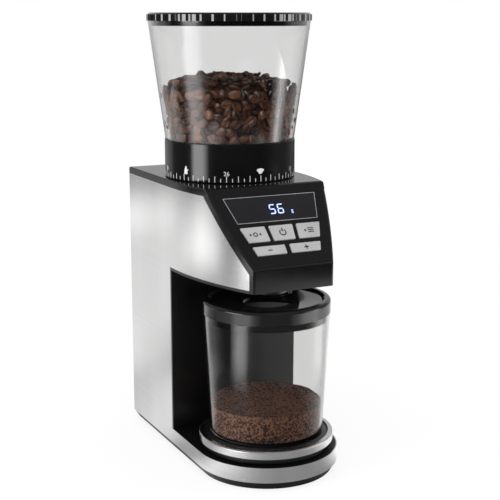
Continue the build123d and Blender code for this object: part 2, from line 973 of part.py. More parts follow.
# Push switches under the keys
switch_height = board_depth - key_back - key_travel - switch_play
with BuildPart() as push_switches:
    with BuildSketch(panel.offset(-board_depth)):
        with Locations(*key_centres):
            Rectangle(switch_size, switch_size)
    extrude(amount=switch_height)
push_switches.part.label = "push_switches"
export_step(push_switches.part, "parts/push_switches.step")

# Top cover with its bevelled edge and the neck hole
with BuildPart() as top_cover:
    add(head_block(0, 0, 0, z_seam, z_top))
    chamfer(top_cover.faces().sort_by(Axis.Z)[-1].edges(), cap_bevel)
    add(
        head_block(
            cap_rim, cap_rim, edge_panel, z_seam - cut_over, z_top - cap_wall, back_y - cap_rim
        ),
        mode=Mode.SUBTRACT,
    )
    with BuildSketch(Plane((0, hopper_y, z_seam))):
        Circle(chamber_r + slip)
    extrude(amount=cap_height, mode=Mode.SUBTRACT)
top_cover.part.label = "top_cover"
export_step(top_cover.part, "parts/top_cover.step")

# Gear plate on the head floor's bosses and the back cover's ledge
legs = [
    (leg_circle_r * cos(radians(a)), hopper_y + leg_circle_r * sin(radians(a)))
    for a in leg_angles
]
motor_screw_points = [(side * motor_screw_r, motor_y) for side in (-1, 1)]
with BuildPart() as gear_plate:
    with BuildSketch(Plane.XY.offset(z_plate)):
        with BuildLine():
            Polyline(
                (-plate_half, plate_front_y),
                (plate_half, plate_front_y),
                (plate_half, inner_back),
                (-plate_half, inner_back),
                close=True,
            )
        make_face()
        with Locations((0, hopper_y)):
            Circle(bush_r + fit, mode=Mode.SUBTRACT)
        with Locations((0, motor_y)):
            Circle(motor_bush_r + fit, mode=Mode.SUBTRACT)
        with Locations((idler_x, idler_y)):
            Circle(idler_pin_r + fit, mode=Mode.SUBTRACT)
        with Locations(*legs, *motor_screw_points, *plate_bosses):
            Circle(screw_r + fit, mode=Mode.SUBTRACT)
    extrude(amount=plate_wall)
gear_plate.part.label = "gear_plate"
export_step(gear_plate.part, "parts/gear_plate.step")

# Screws of the plate: down into the head floor, up into the chamber's legs
plate_screws = screws(
    Plane((0, 0, z_plate_top), x_dir=(1, 0, 0), z_dir=(0, 0, -1)),
    [(x, -y) for x, y in plate_bosses],
    screw_head_r,
    screw_head_h,
    screw_r,
    plate_wall + plate_lift + floor_wall - rest_gap,
)
plate_screws.label = "plate_screws"
export_step(plate_screws, "parts/plate_screws.step")
chamber_screws = screws(
    Plane.XY.offset(z_plate),
    legs,
    screw_head_r,
    screw_head_h,
    screw_r,
    plate_wall + screw_grip - rest_gap,
)
chamber_screws.label = "chamber_screws"
export_step(chamber_screws, "parts/chamber_screws.step")

# Grinding chamber: floor, bore, neck, legs, outlet and key slots
z_carrier = z_ring_burr
with BuildPart() as grind_chamber:
    add(
        turned(
            [
                (bush_r + fit, z_chamber),
                (chamber_r, z_chamber),
                (chamber_r, z_neck),
                (chamber_bore_r, z_neck),
                (chamber_bore_r, z_chamber_floor),
                (bush_r + fit, z_chamber_floor),
            ],
            hopper_y,
        )
    )
    with BuildSketch(Plane.XY.offset(z_plate_top)):
        with Locations(*legs):
            Circle(leg_r)
    extrude(amount=z_chamber - z_plate_top)
    with BuildSketch(Plane.XY.offset(z_plate_top)):
        with Locations(*legs):
            Circle(screw_r + fit)
    extrude(amount=screw_grip, mode=Mode.SUBTRACT)
    with BuildSketch(Plane.XY.offset(z_chamber_floor)):
        with Locations((0, hopper_y - chamber_r)):
            Rectangle(2 * outlet_half, chamber_r)
    extrude(amount=outlet_height, mode=Mode.SUBTRACT)
    with BuildSketch(Plane.XY.offset(z_carrier)):
        with Locations((0, hopper_y)):
            Rectangle(2 * (chamber_bore_r + key_depth + slip), key_width + 2 * slip)
    extrude(amount=z_neck - z_carrier, mode=Mode.SUBTRACT)
grind_chamber.part.label = "grind_chamber"
export_step(grind_chamber.part, "parts/grind_chamber.step")

# Discharge chute from the chamber's outlet, with a round spout through the head floor
chute_top = z_chamber_floor + outlet_height + chute_wall
chute_front = spout_y - chute_depth
chute_back = spout_y + chute_depth
chute_shoulder = chute_top - chute_depth
chute_foot = z_floor_top + fit
z_spout = z_head - spout_drop
with BuildPart() as discharge_chute:
    with BuildSketch(Plane.YZ):
        with BuildLine():
            Polyline(
                (hopper_y, chute_top),
                (spout_y, chute_top),
                (chute_front, chute_shoulder),
                (chute_front, chute_foot),
                (chute_back, chute_foot),
                (chute_back, z_chamber - chute_wall),
                (hopper_y, z_chamber - chute_wall),
                close=True,
            )
        make_face()
    extrude(amount=chute_half, both=True)
    with BuildSketch(Plane((0, spout_y, chute_foot))):
        Circle(spout_r + spout_lip)
    extrude(amount=chute_wall)
    with BuildSketch(Plane((0, spout_y, z_spout))):
        Circle(spout_r)
    extrude(amount=chute_foot - z_spout)
    fillet(discharge_chute.edges().group_by(Axis.Z)[0], spout_round)
    with BuildSketch(Plane.YZ):
        with BuildLine():
            Polyline(
                (hopper_y, chute_top - chute_wall),
                (spout_y + chute_wall / 2, chute_top - chute_wall),
                (chute_front + chute_wall, chute_shoulder - chute_wall / 2),
                (chute_front + chute_wall, chute_foot),
                (chute_back - chute_wall, chute_foot),
                (chute_back - chute_wall, z_chamber),
                (hopper_y - chamber_r, z_chamber_floor),
                (hopper_y, z_chamber_floor),
                close=True,
            )
        make_face()
    extrude(amount=chute_half - chute_wall, both=True, mode=Mode.SUBTRACT)
    with BuildSketch(Plane((0, spout_y, z_spout))):
        Circle(spout_r - spout_wall)
    extrude(amount=chute_foot - z_spout, mode=Mode.SUBTRACT)
    with BuildSketch(Plane((0, hopper_y, chute_foot))):
        Circle(chamber_r + fit)
    extrude(amount=z_top - chute_foot, mode=Mode.SUBTRACT)
discharge_chute.part.label = "discharge_chute"
export_step(discharge_chute.part, "parts/discharge_chute.step")

# Bushes of the burr shaft, in the plate and in the chamber floor
lower_bush = turned(
    [
        (shaft_r + run, z_plate),
        (bush_r, z_plate),
        (bush_r, z_plate_top + gear_gap),
        (shaft_r + run, z_plate_top + gear_gap),
    ],
    hopper_y,
)
lower_bush.label = "shaft_bush_lower"
export_step(lower_bush, "parts/shaft_bush_lower.step")
upper_bush = turned(
    [
        (shaft_r + run, z_chamber),
        (bush_r, z_chamber),
        (bush_r, z_chamber_floor + impeller_gap / 2),
        (shaft_r + run, z_chamber_floor + impeller_gap / 2),
    ],
    hopper_y,
)
upper_bush.label = "shaft_bush_upper"
export_step(upper_bush, "parts/shaft_bush_upper.step")

# Burr shaft from the plate to above the cone burr
with BuildPart() as burr_shaft:
    with BuildSketch(Plane((0, hopper_y, z_plate))):
        Circle(shaft_r)
    extrude(amount=z_cone_top + nut_height - z_plate)
burr_shaft.part.label = "burr_shaft"
export_step(burr_shaft.part, "parts/burr_shaft.step")

# Main gear on the burr shaft
with BuildPart() as main_gear:
    with BuildSketch(Plane((0, hopper_y, z_main))):
        add(gear_outline(main_teeth, to_main + 180))
        Circle(shaft_r + fit, mode=Mode.SUBTRACT)
    extrude(amount=main_width)
main_gear.part.label = "main_gear"
export_step(main_gear.part, "parts/main_gear.step")

# Impeller that sweeps the grounds to the outlet
with BuildPart() as impeller:
    with BuildSketch(Plane((0, hopper_y, z_impeller))):
        Circle(chamber_bore_r - slip)
        Circle(shaft_r + fit, mode=Mode.SUBTRACT)
    extrude(amount=impeller_height - vane_height)
    with BuildSketch(Plane((0, hopper_y, z_impeller + impeller_height - vane_height))):
        Circle(impeller_hub_r)
        Rectangle(2 * (chamber_bore_r - 2 * vane_width), vane_width)
        Rectangle(vane_width, 2 * (chamber_bore_r - 2 * vane_width))
        Circle(shaft_r + fit, mode=Mode.SUBTRACT)
    extrude(amount=vane_height)
impeller.part.label = "impeller"
export_step(impeller.part, "parts/impeller.step")

# Fluted cone burr
with BuildPart() as cone_burr:
    add(
        turned(
            [
                (shaft_r + fit, z_cone),
                (cone_r, z_cone),
                (cone_r, z_cone + burr_gap),
                (cone_top_r, z_cone_top),
                (shaft_r + fit, z_cone_top),
            ],
            hopper_y,
        )
    )
    with BuildSketch(Plane((0, hopper_y, z_cone + cone_flute_rise))):
        with PolarLocations(cone_r, cone_flutes):
            RegularPolygon(cone_flute_r, 3)
    extrude(amount=cone_height, mode=Mode.SUBTRACT)
cone_burr.part.label = "cone_burr"
export_step(cone_burr.part, "parts/cone_burr.step")

# Hexagon nut that holds the cone burr
with BuildPart() as burr_nut:
    with BuildSketch(Plane((0, hopper_y, z_cone_top))):
        RegularPolygon(nut_r, 6)
        Circle(shaft_r + fit, mode=Mode.SUBTRACT)
    extrude(amount=nut_height)
burr_nut.part.label = "burr_nut"
export_step(burr_nut.part, "parts/burr_nut.step")

# Ring burr in its carrier
ring_burr = turned(
    [
        (ring_burr_low_r, z_ring_burr),
        (ring_burr_r, z_ring_burr),
        (ring_burr_r, z_ring_burr_top),
        (ring_burr_top_r, z_ring_burr_top),
    ],
    hopper_y,
)
ring_burr.label = "ring_burr"
export_step(ring_burr, "parts/ring_burr.step")
with BuildPart() as burr_carrier:
    add(
        turned(
            [
                (ring_burr_r + fit, z_carrier),
                (chamber_bore_r - slip, z_carrier),
                (chamber_bore_r - slip, z_carrier_top),
                (throat_r, z_carrier_top),
                (ring_burr_top_r, z_ring_burr_top + burr_gap),
                (ring_burr_top_r, z_ring_burr_top),
                (ring_burr_r + fit, z_ring_burr_top),
            ],
            hopper_y,
        )
    )
    with BuildSketch(Plane((0, hopper_y, z_carrier + key_rise))):
        with PolarLocations(chamber_bore_r - slip, 2):
            Rectangle(2 * (key_depth + slip), key_width)
    extrude(amount=key_height)
burr_carrier.part.label = "burr_carrier"
export_step(burr_carrier.part, "parts/burr_carrier.step")

# Dial ring that turns on the chamber's neck
z_spigot = z_ring_top - ring_seat_drop
z_shelf = z_spigot - ring_slope
with BuildPart() as adjust_ring:
    add(
        turned(
            [
                (chamber_r + run, z_ring),
                (ring_r, z_ring),
                (ring_r, z_ring_top),
                (ring_r - ring_wall, z_ring_top),
                (ring_r - ring_wall, z_spigot),
                (ring_throat_r, z_shelf),
                (ring_throat_r, z_neck + slip),
                (chamber_r + run, z_neck + slip),
            ],
            hopper_y,
        )
    )
    fillet(adjust_ring.edges().group_by(Axis.Z)[-1].sort_by(SortBy.LENGTH)[-1], ring_round)
    fillet(adjust_ring.edges().group_by(Axis.Z)[0].sort_by(SortBy.LENGTH)[-1], ring_round)
adjust_ring.part.label = "adjust_ring"
export_step(adjust_ring.part, "parts/adjust_ring.step")

# Clear hopper: spigot in the ring, funnel floor, throat and flared wall
spigot_r = ring_r - ring_wall - slip
z_hopper = z_ring_top + rest_gap
hopper_slope = (hopper_top_r - hopper_foot_r) / (z_hopper_top - z_hopper)
shelf_fall = ring_slope * (spigot_r - throat_r) / (ring_r - ring_wall - ring_throat_r)
z_spigot_low = z_spigot + slip
z_throat = z_spigot_low - shelf_fall
with BuildPart() as hopper:
    add(
        turned(
            [
                (throat_r, z_throat - throat_length + ring_slope),
                (throat_r, z_throat + ring_slope / 2),
                (spigot_r, z_spigot_low + ring_slope / 2),
                (spigot_r, z_hopper),
                (hopper_foot_r, z_hopper),
                (hopper_top_r, z_hopper_top),
                (hopper_top_r - hopper_wall, z_hopper_top),
                (spigot_r - hopper_wall, z_hopper),
                (spigot_r - hopper_wall, z_spigot_low + ring_slope / 2 + hopper_wall),
                (throat_r - hopper_wall, z_throat + ring_slope / 2 + hopper_wall),
                (throat_r - hopper_wall, z_throat - throat_length + ring_slope),
            ],
            hopper_y,
        )
    )
hopper.part.label = "hopper"
export_step(hopper.part, "parts/hopper.step")

# Hopper lid with a fluted rim, a low crown and a plug ring
z_lid = z_hopper_top + rest_gap
lid_plug_r = hopper_top_r - hopper_wall - hopper_slope * hopper_plug - slip
with BuildPart() as hopper_lid:
    with BuildSketch(Plane((0, hopper_y, z_lid))):
        Circle(hopper_lid_r)
        with PolarLocations(hopper_lid_r - flute_depth + flute_r, flute_count):
            Circle(flute_r, mode=Mode.SUBTRACT)
    extrude(amount=z_lid_top - hopper_lid_crown - z_lid)
    add(
        turned(
            [
                (0, z_lid_top - hopper_lid_crown),
                (hopper_lid_r - flute_depth, z_lid_top - hopper_lid_crown),
                (hopper_lid_r - flute_depth - hopper_lid_crown, z_lid_top),
                (0, z_lid_top),
            ],
            hopper_y,
        )
    )
    with BuildSketch(Plane((0, hopper_y, z_lid))):
        Circle(lid_plug_r)
        Circle(lid_plug_r - hopper_wall, mode=Mode.SUBTRACT)
    extrude(amount=-hopper_plug)
hopper_lid.part.label = "hopper_lid"
export_step(hopper_lid.part, "parts/hopper_lid.step")

# Idler: large wheel driven by the motor, small wheel that drives the main gear
with BuildPart() as idler_gear:
    with BuildSketch(Plane((idler_x, idler_y, z_wheel))):
        add(gear_outline(wheel_teeth, to_motor))
        Circle(idler_pin_r + run, mode=Mode.SUBTRACT)
    extrude(amount=pinion_width)
    with BuildSketch(Plane((idler_x, idler_y, z_wheel + pinion_width))):
        add(gear_outline(small_teeth, to_main + 180 / small_teeth))
        Circle(idler_pin_r + run, mode=Mode.SUBTRACT)
    extrude(amount=gear_gap + main_width)
idler_gear.part.label = "idler_gear"
export_step(idler_gear.part, "parts/idler_gear.step")
with BuildPart() as idler_pin:
    with BuildSketch(Plane((idler_x, idler_y, z_plate))):
        Circle(idler_pin_r)
    extrude(amount=z_chamber - z_plate)
    with BuildSketch(Plane((idler_x, idler_y, z_plate_top))):
        Circle(idler_collar_r)
    extrude(amount=gear_gap - slip)
idler_pin.part.label = "idler_pin"
export_step(idler_pin.part, "parts/idler_pin.step")

# Motor can, its end cap, bushes and magnets
with BuildPart() as motor_can:
    add(
        turned(
            [
                (motor_bush_r + fit, z_plate - motor_cap),
                (motor_r - motor_wall, z_plate - motor_cap),
                (motor_r - motor_wall, z_motor),
                (motor_r, z_motor),
                (motor_r, z_plate),
                (motor_bush_r + fit, z_plate),
            ],
            motor_y,
        )
    )
    with BuildSketch(Plane.XY.offset(z_plate - motor_cap)):
        with Locations(*motor_screw_points):
            Circle(screw_r + fit)
    extrude(amount=motor_cap, mode=Mode.SUBTRACT)
motor_can.part.label = "motor_can"
export_step(motor_can.part, "parts/motor_can.step")
motor_end_cap = turned(
    [
        (motor_bush_r + fit, z_motor),
        (motor_r - motor_wall - fit, z_motor),
        (motor_r - motor_wall - fit, z_motor + motor_cap),
        (motor_bush_r + fit, z_motor + motor_cap),
    ],
    motor_y,
)
motor_end_cap.label = "motor_end_cap"
export_step(motor_end_cap, "parts/motor_end_cap.step")
with BuildPart() as motor_bushes:
    for z_low, z_high in ((z_motor, z_motor + motor_cap), (z_plate - motor_cap, z_plate_top)):
        with BuildSketch(Plane((0, motor_y, z_low))):
            Circle(motor_bush_r)
            Circle(motor_shaft_r + run, mode=Mode.SUBTRACT)
        extrude(amount=z_high - z_low)
motor_bushes.part.label = "motor_bushes"
export_step(motor_bushes.part, "parts/motor_bushes.step")
magnet_r = motor_r - motor_wall - fit
with BuildPart() as motor_magnets:
    with BuildSketch(Plane((0, motor_y, z_motor + armature_rise))):
        Circle(magnet_r)
        Circle(magnet_r - magnet_wall, mode=Mode.SUBTRACT)
        Rectangle(magnet_gap, 2 * motor_r, mode=Mode.SUBTRACT)
    extrude(amount=armature_length)
motor_magnets.part.label = "motor_magnets"
export_step(motor_magnets.part, "parts/motor_magnets.step")
motor_screws = screws(
    Plane((0, 0, z_plate_top), x_dir=(1, 0, 0), z_dir=(0, 0, -1)),
    [(x, -y) for x, y in motor_screw_points],
    screw_head_r,
    screw_head_h,
    screw_r,
    plate_wall + motor_cap - rest_gap,
)
motor_screws.label = "motor_screws"
export_step(motor_screws, "parts/motor_screws.step")

# Rotor: shaft, slotted armature, commutator and pinion
with BuildPart() as motor_shaft:
    with BuildSketch(Plane((0, motor_y, z_motor))):
        Circle(motor_shaft_r)
    extrude(amount=z_wheel + pinion_width - z_motor)
motor_shaft.part.label = "motor_shaft"
export_step(motor_shaft.part, "parts/motor_shaft.step")
with BuildPart() as armature:
    with BuildSketch(Plane((0, motor_y, z_motor + armature_rise))):
        Circle(armature_r)
        with PolarLocations(armature_r, armature_slots):
            Rectangle(2 * slot_depth, slot_width, mode=Mode.SUBTRACT)
        Circle(motor_shaft_r + fit, mode=Mode.SUBTRACT)
    extrude(amount=armature_length)
armature.part.label = "armature"
export_step(armature.part, "parts/armature.step")
with BuildPart() as commutator:
    with BuildSketch(Plane((0, motor_y, z_motor + commutator_rise))):
        Circle(commutator_r)
        Circle(motor_shaft_r + fit, mode=Mode.SUBTRACT)
    extrude(amount=commutator_length)
commutator.part.label = "commutator"
export_step(commutator.part, "parts/commutator.step")
with BuildPart() as motor_pinion:
    with BuildSketch(Plane((0, motor_y, z_wheel))):
        add(gear_outline(pinion_teeth, to_motor + 180 + 180 / pinion_teeth))
        Circle(motor_shaft_r + fit, mode=Mode.SUBTRACT)
    extrude(amount=pinion_width)
motor_pinion.part.label = "motor_pinion"
export_step(motor_pinion.part, "parts/motor_pinion.step")

# Back cover with vents, a ledge for the gear plate and the cord gland's hole
back_plane = Plane((0, back_y, 0), x_dir=(-1, 0, 0), z_dir=(0, 1, 0))
back_half = half_width - sheet - fit
with BuildPart() as back_cover:
    with BuildSketch(back_plane.offset(-back_wall)):
        with Locations((0, (z_band + z_seam) / 2)):
            Rectangle(2 * back_half, z_seam - z_band)
        with Locations((0, z_deck + vent_rise)):
            with GridLocations(vent_pitch, 0, vent_count, 1):
                SlotOverall(vent_height, vent_width, rotation=90, mode=Mode.SUBTRACT)
        with Locations((gland_x, z_deck + gland_rise)):
            Circle(gland_r + fit, mode=Mode.SUBTRACT)
    extrude(amount=back_wall)
    with BuildSketch(back_plane.offset(-back_wall)):
        with Locations((0, z_plate - ledge_height / 2)):
            with GridLocations(2 * (plate_half - ledge_half), 0, 2, 1):
                Rectangle(2 * ledge_half, ledge_height)
    extrude(amount=-ledge_depth)
back_cover.part.label = "back_cover"
export_step(back_cover.part, "parts/back_cover.step")

# Cord gland in the back cover
with BuildPart() as cord_gland:
    with BuildSketch(back_plane.offset(-back_wall)):
        with Locations((gland_x, z_deck + gland_rise)):
            Circle(gland_r)
    extrude(amount=back_wall)
    with BuildSketch(back_plane.offset(-back_wall)):
        with Locations((gland_x, z_deck + gland_rise)):
            Circle(gland_flange_r)
    extrude(amount=-gland_depth)
    with BuildSketch(back_plane):
        with Locations((gland_x, z_deck + gland_rise)):
            Circle(gland_bore_r)
    extrude(amount=-back_wall - gland_depth, mode=Mode.SUBTRACT)
cord_gland.part.label = "cord_gland"
export_step(cord_gland.part, "parts/cord_gland.step")
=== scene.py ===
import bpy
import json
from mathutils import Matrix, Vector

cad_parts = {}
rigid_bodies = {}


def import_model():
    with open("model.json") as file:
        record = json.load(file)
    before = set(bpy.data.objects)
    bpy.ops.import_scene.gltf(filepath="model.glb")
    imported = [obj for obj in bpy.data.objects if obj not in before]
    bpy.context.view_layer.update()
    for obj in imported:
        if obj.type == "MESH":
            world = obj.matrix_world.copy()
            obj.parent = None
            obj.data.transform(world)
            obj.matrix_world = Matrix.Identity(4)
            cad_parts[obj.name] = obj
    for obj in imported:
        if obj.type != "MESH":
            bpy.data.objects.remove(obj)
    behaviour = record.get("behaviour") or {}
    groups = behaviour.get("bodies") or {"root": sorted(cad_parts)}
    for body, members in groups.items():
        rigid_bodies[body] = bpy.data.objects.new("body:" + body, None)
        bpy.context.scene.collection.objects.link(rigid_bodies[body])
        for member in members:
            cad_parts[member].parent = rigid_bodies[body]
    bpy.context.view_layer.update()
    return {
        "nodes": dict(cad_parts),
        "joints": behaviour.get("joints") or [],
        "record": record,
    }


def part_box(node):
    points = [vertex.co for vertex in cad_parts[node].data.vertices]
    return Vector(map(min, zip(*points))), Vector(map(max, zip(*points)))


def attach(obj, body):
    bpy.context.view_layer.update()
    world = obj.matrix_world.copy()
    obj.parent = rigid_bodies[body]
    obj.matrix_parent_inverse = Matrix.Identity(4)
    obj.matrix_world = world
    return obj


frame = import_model()

import json
import math
import random

import bpy
from mathutils import Matrix, Vector, kdtree, noise

MM = 0.001
SEED = 26
random.seed(SEED)

# Camera, solved from the round edges in the photograph
CAMERA_PLACE = (-0.4255, -0.8860, 0.3865)
CAMERA_DOWN = 11.78
CAMERA_TURN = 26.13
CAMERA_LENS = 81.8
SENSOR = 36.0

# Studio: brightness that gloss shows, by compass angle (0 is +X, 90 is the back)
SIDE_FILL = 0.45          # diffuse light from the sides and from below
TOP_FILL = 1.25           # diffuse light from straight above
REFLECT_PEAK = 14.0       # brightness that the tables are turned into shares of
GLINT_TURN = 215.0        # lamp that glints on what the clear walls hold
GLINT_RISE = 54.0
GLINT_LIGHT = 6.0
GLINT_FROM = math.cos(math.radians(44))
GLINT_TO = math.cos(math.radians(16))
BACK_LIGHT = (            # what gloss shows through a clear wall
    (0, 0.6), (135, 0.6), (155, 0.02), (330, 0.02), (350, 0.6), (360, 0.6),
)
NEAR_LIGHT = (            # floor that the base and the platform mirror
    (0, 0.80), (12, 0.90), (25, 1.05), (40, 1.00), (114, 0.75), (126, 1.00), (138, 1.00),
    (150, 0.80), (162, 0.53), (175, 0.49), (187, 0.55), (200, 0.93), (212, 1.20), (224, 0.95),
    (237, 0.62), (249, 0.44), (262, 0.36), (286, 0.34), (299, 0.42), (311, 0.80), (323, 1.25),
    (336, 1.15), (348, 0.85), (360, 0.80),
)
MID_LIGHT = (             # floor that the jar mirrors
    (0, 0.80), (12, 0.90), (24, 1.40), (36, 1.00), (48, 1.00), (98, 1.40), (110, 1.20),
    (119, 0.95), (126, 0.40), (133, 0.10), (167, 0.12), (186, 0.40), (194, 6.00), (204, 13.0),
    (213, 10.0), (221, 1.60), (230, 0.70), (249, 0.70), (286, 0.70), (299, 0.60), (311, 0.70),
    (323, 1.90), (335, 4.00), (348, 3.00), (360, 0.80),
)
WIDE_LIGHT = (            # floor that the jar's lid mirrors
    (0, 1.20), (20, 1.00), (105, 0.95), (118, 1.10), (135, 0.62), (150, 0.40), (162, 0.60),
    (184, 1.00), (196, 2.60), (216, 2.80), (226, 1.00), (238, 0.28), (282, 0.28), (296, 1.20),
    (309, 2.80), (332, 3.00), (346, 1.60), (360, 1.20),
)
HOPPER_GLOW = (           # floor that the hopper mirrors
    (163, 0.20), (169, 1.00), (178, 5.20), (187, 5.20), (196, 4.00), (204, 0.80), (212, 0.05),
    (315, 0.05), (324, 2.20), (333, 8.00), (342, 3.20), (350, 0.30), (360, 0.10),
)
OUTER_LIGHT = (           # the same floor, with what the upper steel sides mirror
    (0, 0.10), (20, 0.40), (60, 0.40), (105, 0.80), (113, 1.05), (120, 1.00), (132, 1.45),
    (142, 2.15), (151, 1.90), (157, 0.80), *HOPPER_GLOW,
)
EDGE_LIGHT = (            # and out to its edge
    (0, 0.10), (60, 0.20), (98, 0.80), (106, 1.65), (116, 1.25), (124, 0.95), (132, 1.05),
    (142, 1.60), (150, 0.70), (157, 0.12), *HOPPER_GLOW,
)
FAR_LIGHT = (             # wall that the dial ring mirrors
    (0, 0.15), (25, 0.20), (40, 0.10), (60, 0.08), (98, 0.49), (118, 0.49), (130, 0.12),
    (160, 0.10), (172, 0.25), (181, 6.00), (196, 6.00), (208, 0.25), (220, 0.08), (300, 0.04),
    (320, 0.08), (335, 0.15), (360, 0.15),
)
HIGH_LIGHT = (            # wall that the edge of the hopper's lid mirrors
    (0, 0.40), (12, 0.25), (30, 0.60), (90, 0.62), (102, 0.10), (135, 0.06), (165, 0.10),
    (172, 7.00), (198, 7.00), (206, 0.10), (310, 0.06), (320, 4.50), (342, 4.50), (352, 0.40),
    (360, 0.40),
)
SKY_LIGHT = (             # wall that the flat tops mirror
    (0, 0.40), (12, 0.25), (30, 0.60), (90, 0.62), (102, 0.35), (320, 0.35), (360, 0.40),
)
CEILING_LIGHT = 0.22
CEILING_FROM = math.sin(math.radians(45))  # heights at which one wall zone turns into the next
CEILING_TO = math.sin(math.radians(57))
HIGH_FROM = math.sin(math.radians(-5))
HIGH_TO = math.sin(math.radians(-2))
SKY_FROM = math.sin(math.radians(1.5))
SKY_TO = math.sin(math.radians(4))
MID_REACH = (0.24, 0.32)  # metres from the middle, where one floor zone turns into the next
WIDE_REACH = (0.45, 0.52)
OUTER_REACH = (0.79, 0.87)
EDGE_REACH = (1.06, 1.14)
SOFTBOXES = (             # name, compass angle, distance, height, width, length, power
    ("left_softbox", 187, 1.4, 0.9, 0.9, 1.2, 9.0),
    ("right_softbox", 340, 1.5, 0.8, 0.6, 1.2, 5.0),
    ("top_softbox", 250, 1.1, 1.7, 1.2, 1.0, 9.0),
)
SOFTBOX_AIM = (0, 0, 0.2)
FLOOR_R = 1.5
FLOOR_SIDES = 96
FLOOR_GREY = (0.86, 0.86, 0.86, 1)
FLOOR_WHITE = 0.84        # share of plain white that the camera sees on the floor by the foot
WHITE_FROM = 0.25
WHITE_TO = 0.60

# Beans and grounds
BEAN_SIZE = (11.2 * MM, 8.4 * MM, 6.0 * MM)
BEAN_SIDES = 12
BEAN_RINGS = 5
BEAN_ROOM = 7.9 * MM      # least distance between the middles of two beans
BEAN_LEVEL = 45.0 * MM    # beans at the wall, above the hopper's seat on the ring
BEAN_CROWN = 8.0 * MM
BEAN_WAVE = 3.5 * MM      # unevenness of the heap
WAVE_SLICE = 2.0
BEAN_PITCH = 9.2 * MM
BEAN_ROW = 7.2 * MM
GOLDEN_TURN = 3 - math.sqrt(5)  # of half a turn, from one bean of the heap to the next
BEAN_INSET = 0.6          # of a bean's thickness, from the wall to a bean's middle
BEAN_AT_WALL = 0.9        # of a bean's thickness, within which a bean lies flat on the wall
BEAN_JITTER = 0.4         # of the pitch and of the row
HEAP_JITTER = 1.0 * MM
BEAN_SCALE = (0.85, 1.08)
WALL_TILT = 0.45
HEAP_TILT = 0.8
SETTLE_ROUNDS = 14
SETTLE_PUSH = 0.3
FLAT_SIDE = 0.5           # thickness left on the bean's flat side
FLAT_FROM = -0.1
CREASE_HALF = 0.1         # of half a bean's width
CREASE_DEPTH = 0.4
LIP_REACH = 0.55
LIP_PINCH = 0.3
# painted shade along the crease, taken off the bean's own brown
CREASE_SHADE = 0.35
ROAST_MIDDLE = 0.34
ROAST_SPREAD = 0.15
ROAST_ENDS = (0.05, 0.75)
CORE_DROP = 5 * MM        # foot of the heap's dark middle, under the hopper's seat
CORE_INSET = 1.6          # of a bean's thickness
CORE_SIDES = 64
CORE_WAVE = 1.2 * MM
CORE_WAVE_FLAT = 9        # waves across, and per metre of height
CORE_WAVE_TALL = 300
HOPPER_FOOT_INSET = 2.9 * MM
HOPPER_WALL = 2.2 * MM
JAR_WALL = 2.2 * MM
JAR_TAPER = 5.6 * MM
JAR_FLOOR = 3.15 * MM
GROUNDS_LEVEL = 26.0 * MM
GROUNDS_GAP = 0.15 * MM
GROUNDS_RINGS = 14
GROUNDS_RING_STEP = 0.066
GROUNDS_SIDES = 128
GROUNDS_SWELL = 1.6       # height in millimetres, then waves across and the slice of the noise
SWELL_WAVES = 2.2
SWELL_SLICE = 3.1
GROUNDS_GRIT = 0.45
GRIT_WAVES = 24
GRIT_SLICE = 8.2
GROUNDS_EDGE = 40         # degrees from which an edge stays sharp

# Patterns of the finishes: scales per metre, and relief as depth in metres and strength
# soft upright bands in the metals' colour: painted reflection of the studio
REFLECTION_BAND_SCALE = 28.0
REFLECTION_BAND_SHARE = 0.6
BRUSH_RELIEF = (0.00002, 0.12)
CLOUD_SCALE = 35.0
SKIN_STRENGTH = 0.25
COAT_ROUGHNESS = 0.06
RIPPLE_SCALE = 18.0
CLEAR_IOR = 1.47
TRACK_SCALE = 90.0
SOLDER_MASK_SCALE = 60.0
GLOW_SCALE = 300.0
MOTTLE_SCALE = 420.0
MOTTLE_SHARE = 0.35
BEAN_RELIEF = (0.0003, 0.35)
GRAIN_SCALE = 800.0
PATCH_SCALE = 60.0
PATCH_SHARE = 0.5
PAINTED_TOP_LIGHT_SHARE = 0.14        # how much paler the top of the grounds is painted: painted light on the top face
GRAIN_RELIEF = (0.0006, 0.8)

# Marks
PRINT = 0.06 * MM
TICKS = 72
TICK_WIDTH = 0.6 * MM
TICK_LONG = 5.0 * MM
TICK_SHORT = 3.0 * MM
TICK_FOOT = 0.9 * MM
NUMBER_SIZE = 5.2 * MM
NUMBER_RISE = 7.0 * MM
DIAL_SHIFT = 1.8          # degrees that the middle number is turned past the camera's side
DIAL_NUMBERS = (("39", -68.0), ("26", 0.0), ("13", 68.0), ("1", 128.0))
DIGIT_HEIGHT = 9.4 * MM
DIGIT_WIDTH = 5.6 * MM
DIGIT_STROKE = 1.05 * MM
DIGIT_GAP = 1.9 * MM
DIGIT_ASIDE = 2.2 * MM
DIGIT_DROP = 0.8 * MM
SEGMENTS = {"5": "afgcd", "6": "afgcde"}
DIGIT_LEAN = 0.12
UNIT_SIZE = 5.0 * MM
UNIT_ASIDE = 2.6 * MM
UNIT_DROP = 2.6 * MM
FRAME_LINE = 0.45 * MM
FRAME_INSET = 0.5 * MM
FRAME_NEAR = 1.5 * MM     # height within which the window's lower and upper edges are read
PICTURE_RISE = 2.6 * MM   # above the numbers
DIAL_PICTURES = (         # name, angle on the ring, outline in millimetres
    ("pot", -37.6, (
        (-2.1, -3.4), (1.7, -3.4), (1.5, -0.6), (2.9, 0.6), (2.5, 1.1), (1.2, 0.4),
        (0.9, 1.2), (0.7, 3.2), (-0.6, 3.6), (-0.9, 2.2), (-1.6, 1.0), (-1.9, -1.0),
    )),
    ("cone", 29.5, (
        (-3.6, 1.2), (-1.0, -2.2), (1.0, -2.2), (3.6, 1.2), (2.4, 2.0), (0.0, 2.5), (-2.4, 2.0),
    )),
)
ARC_STEPS = 28
POWER_RING = (3.2 * MM, 2.2 * MM)
POWER_ARC = (125, 415)    # degrees, open at the top
POWER_STEM = (0, 2.4 * MM, 1.0 * MM, 3.4 * MM)
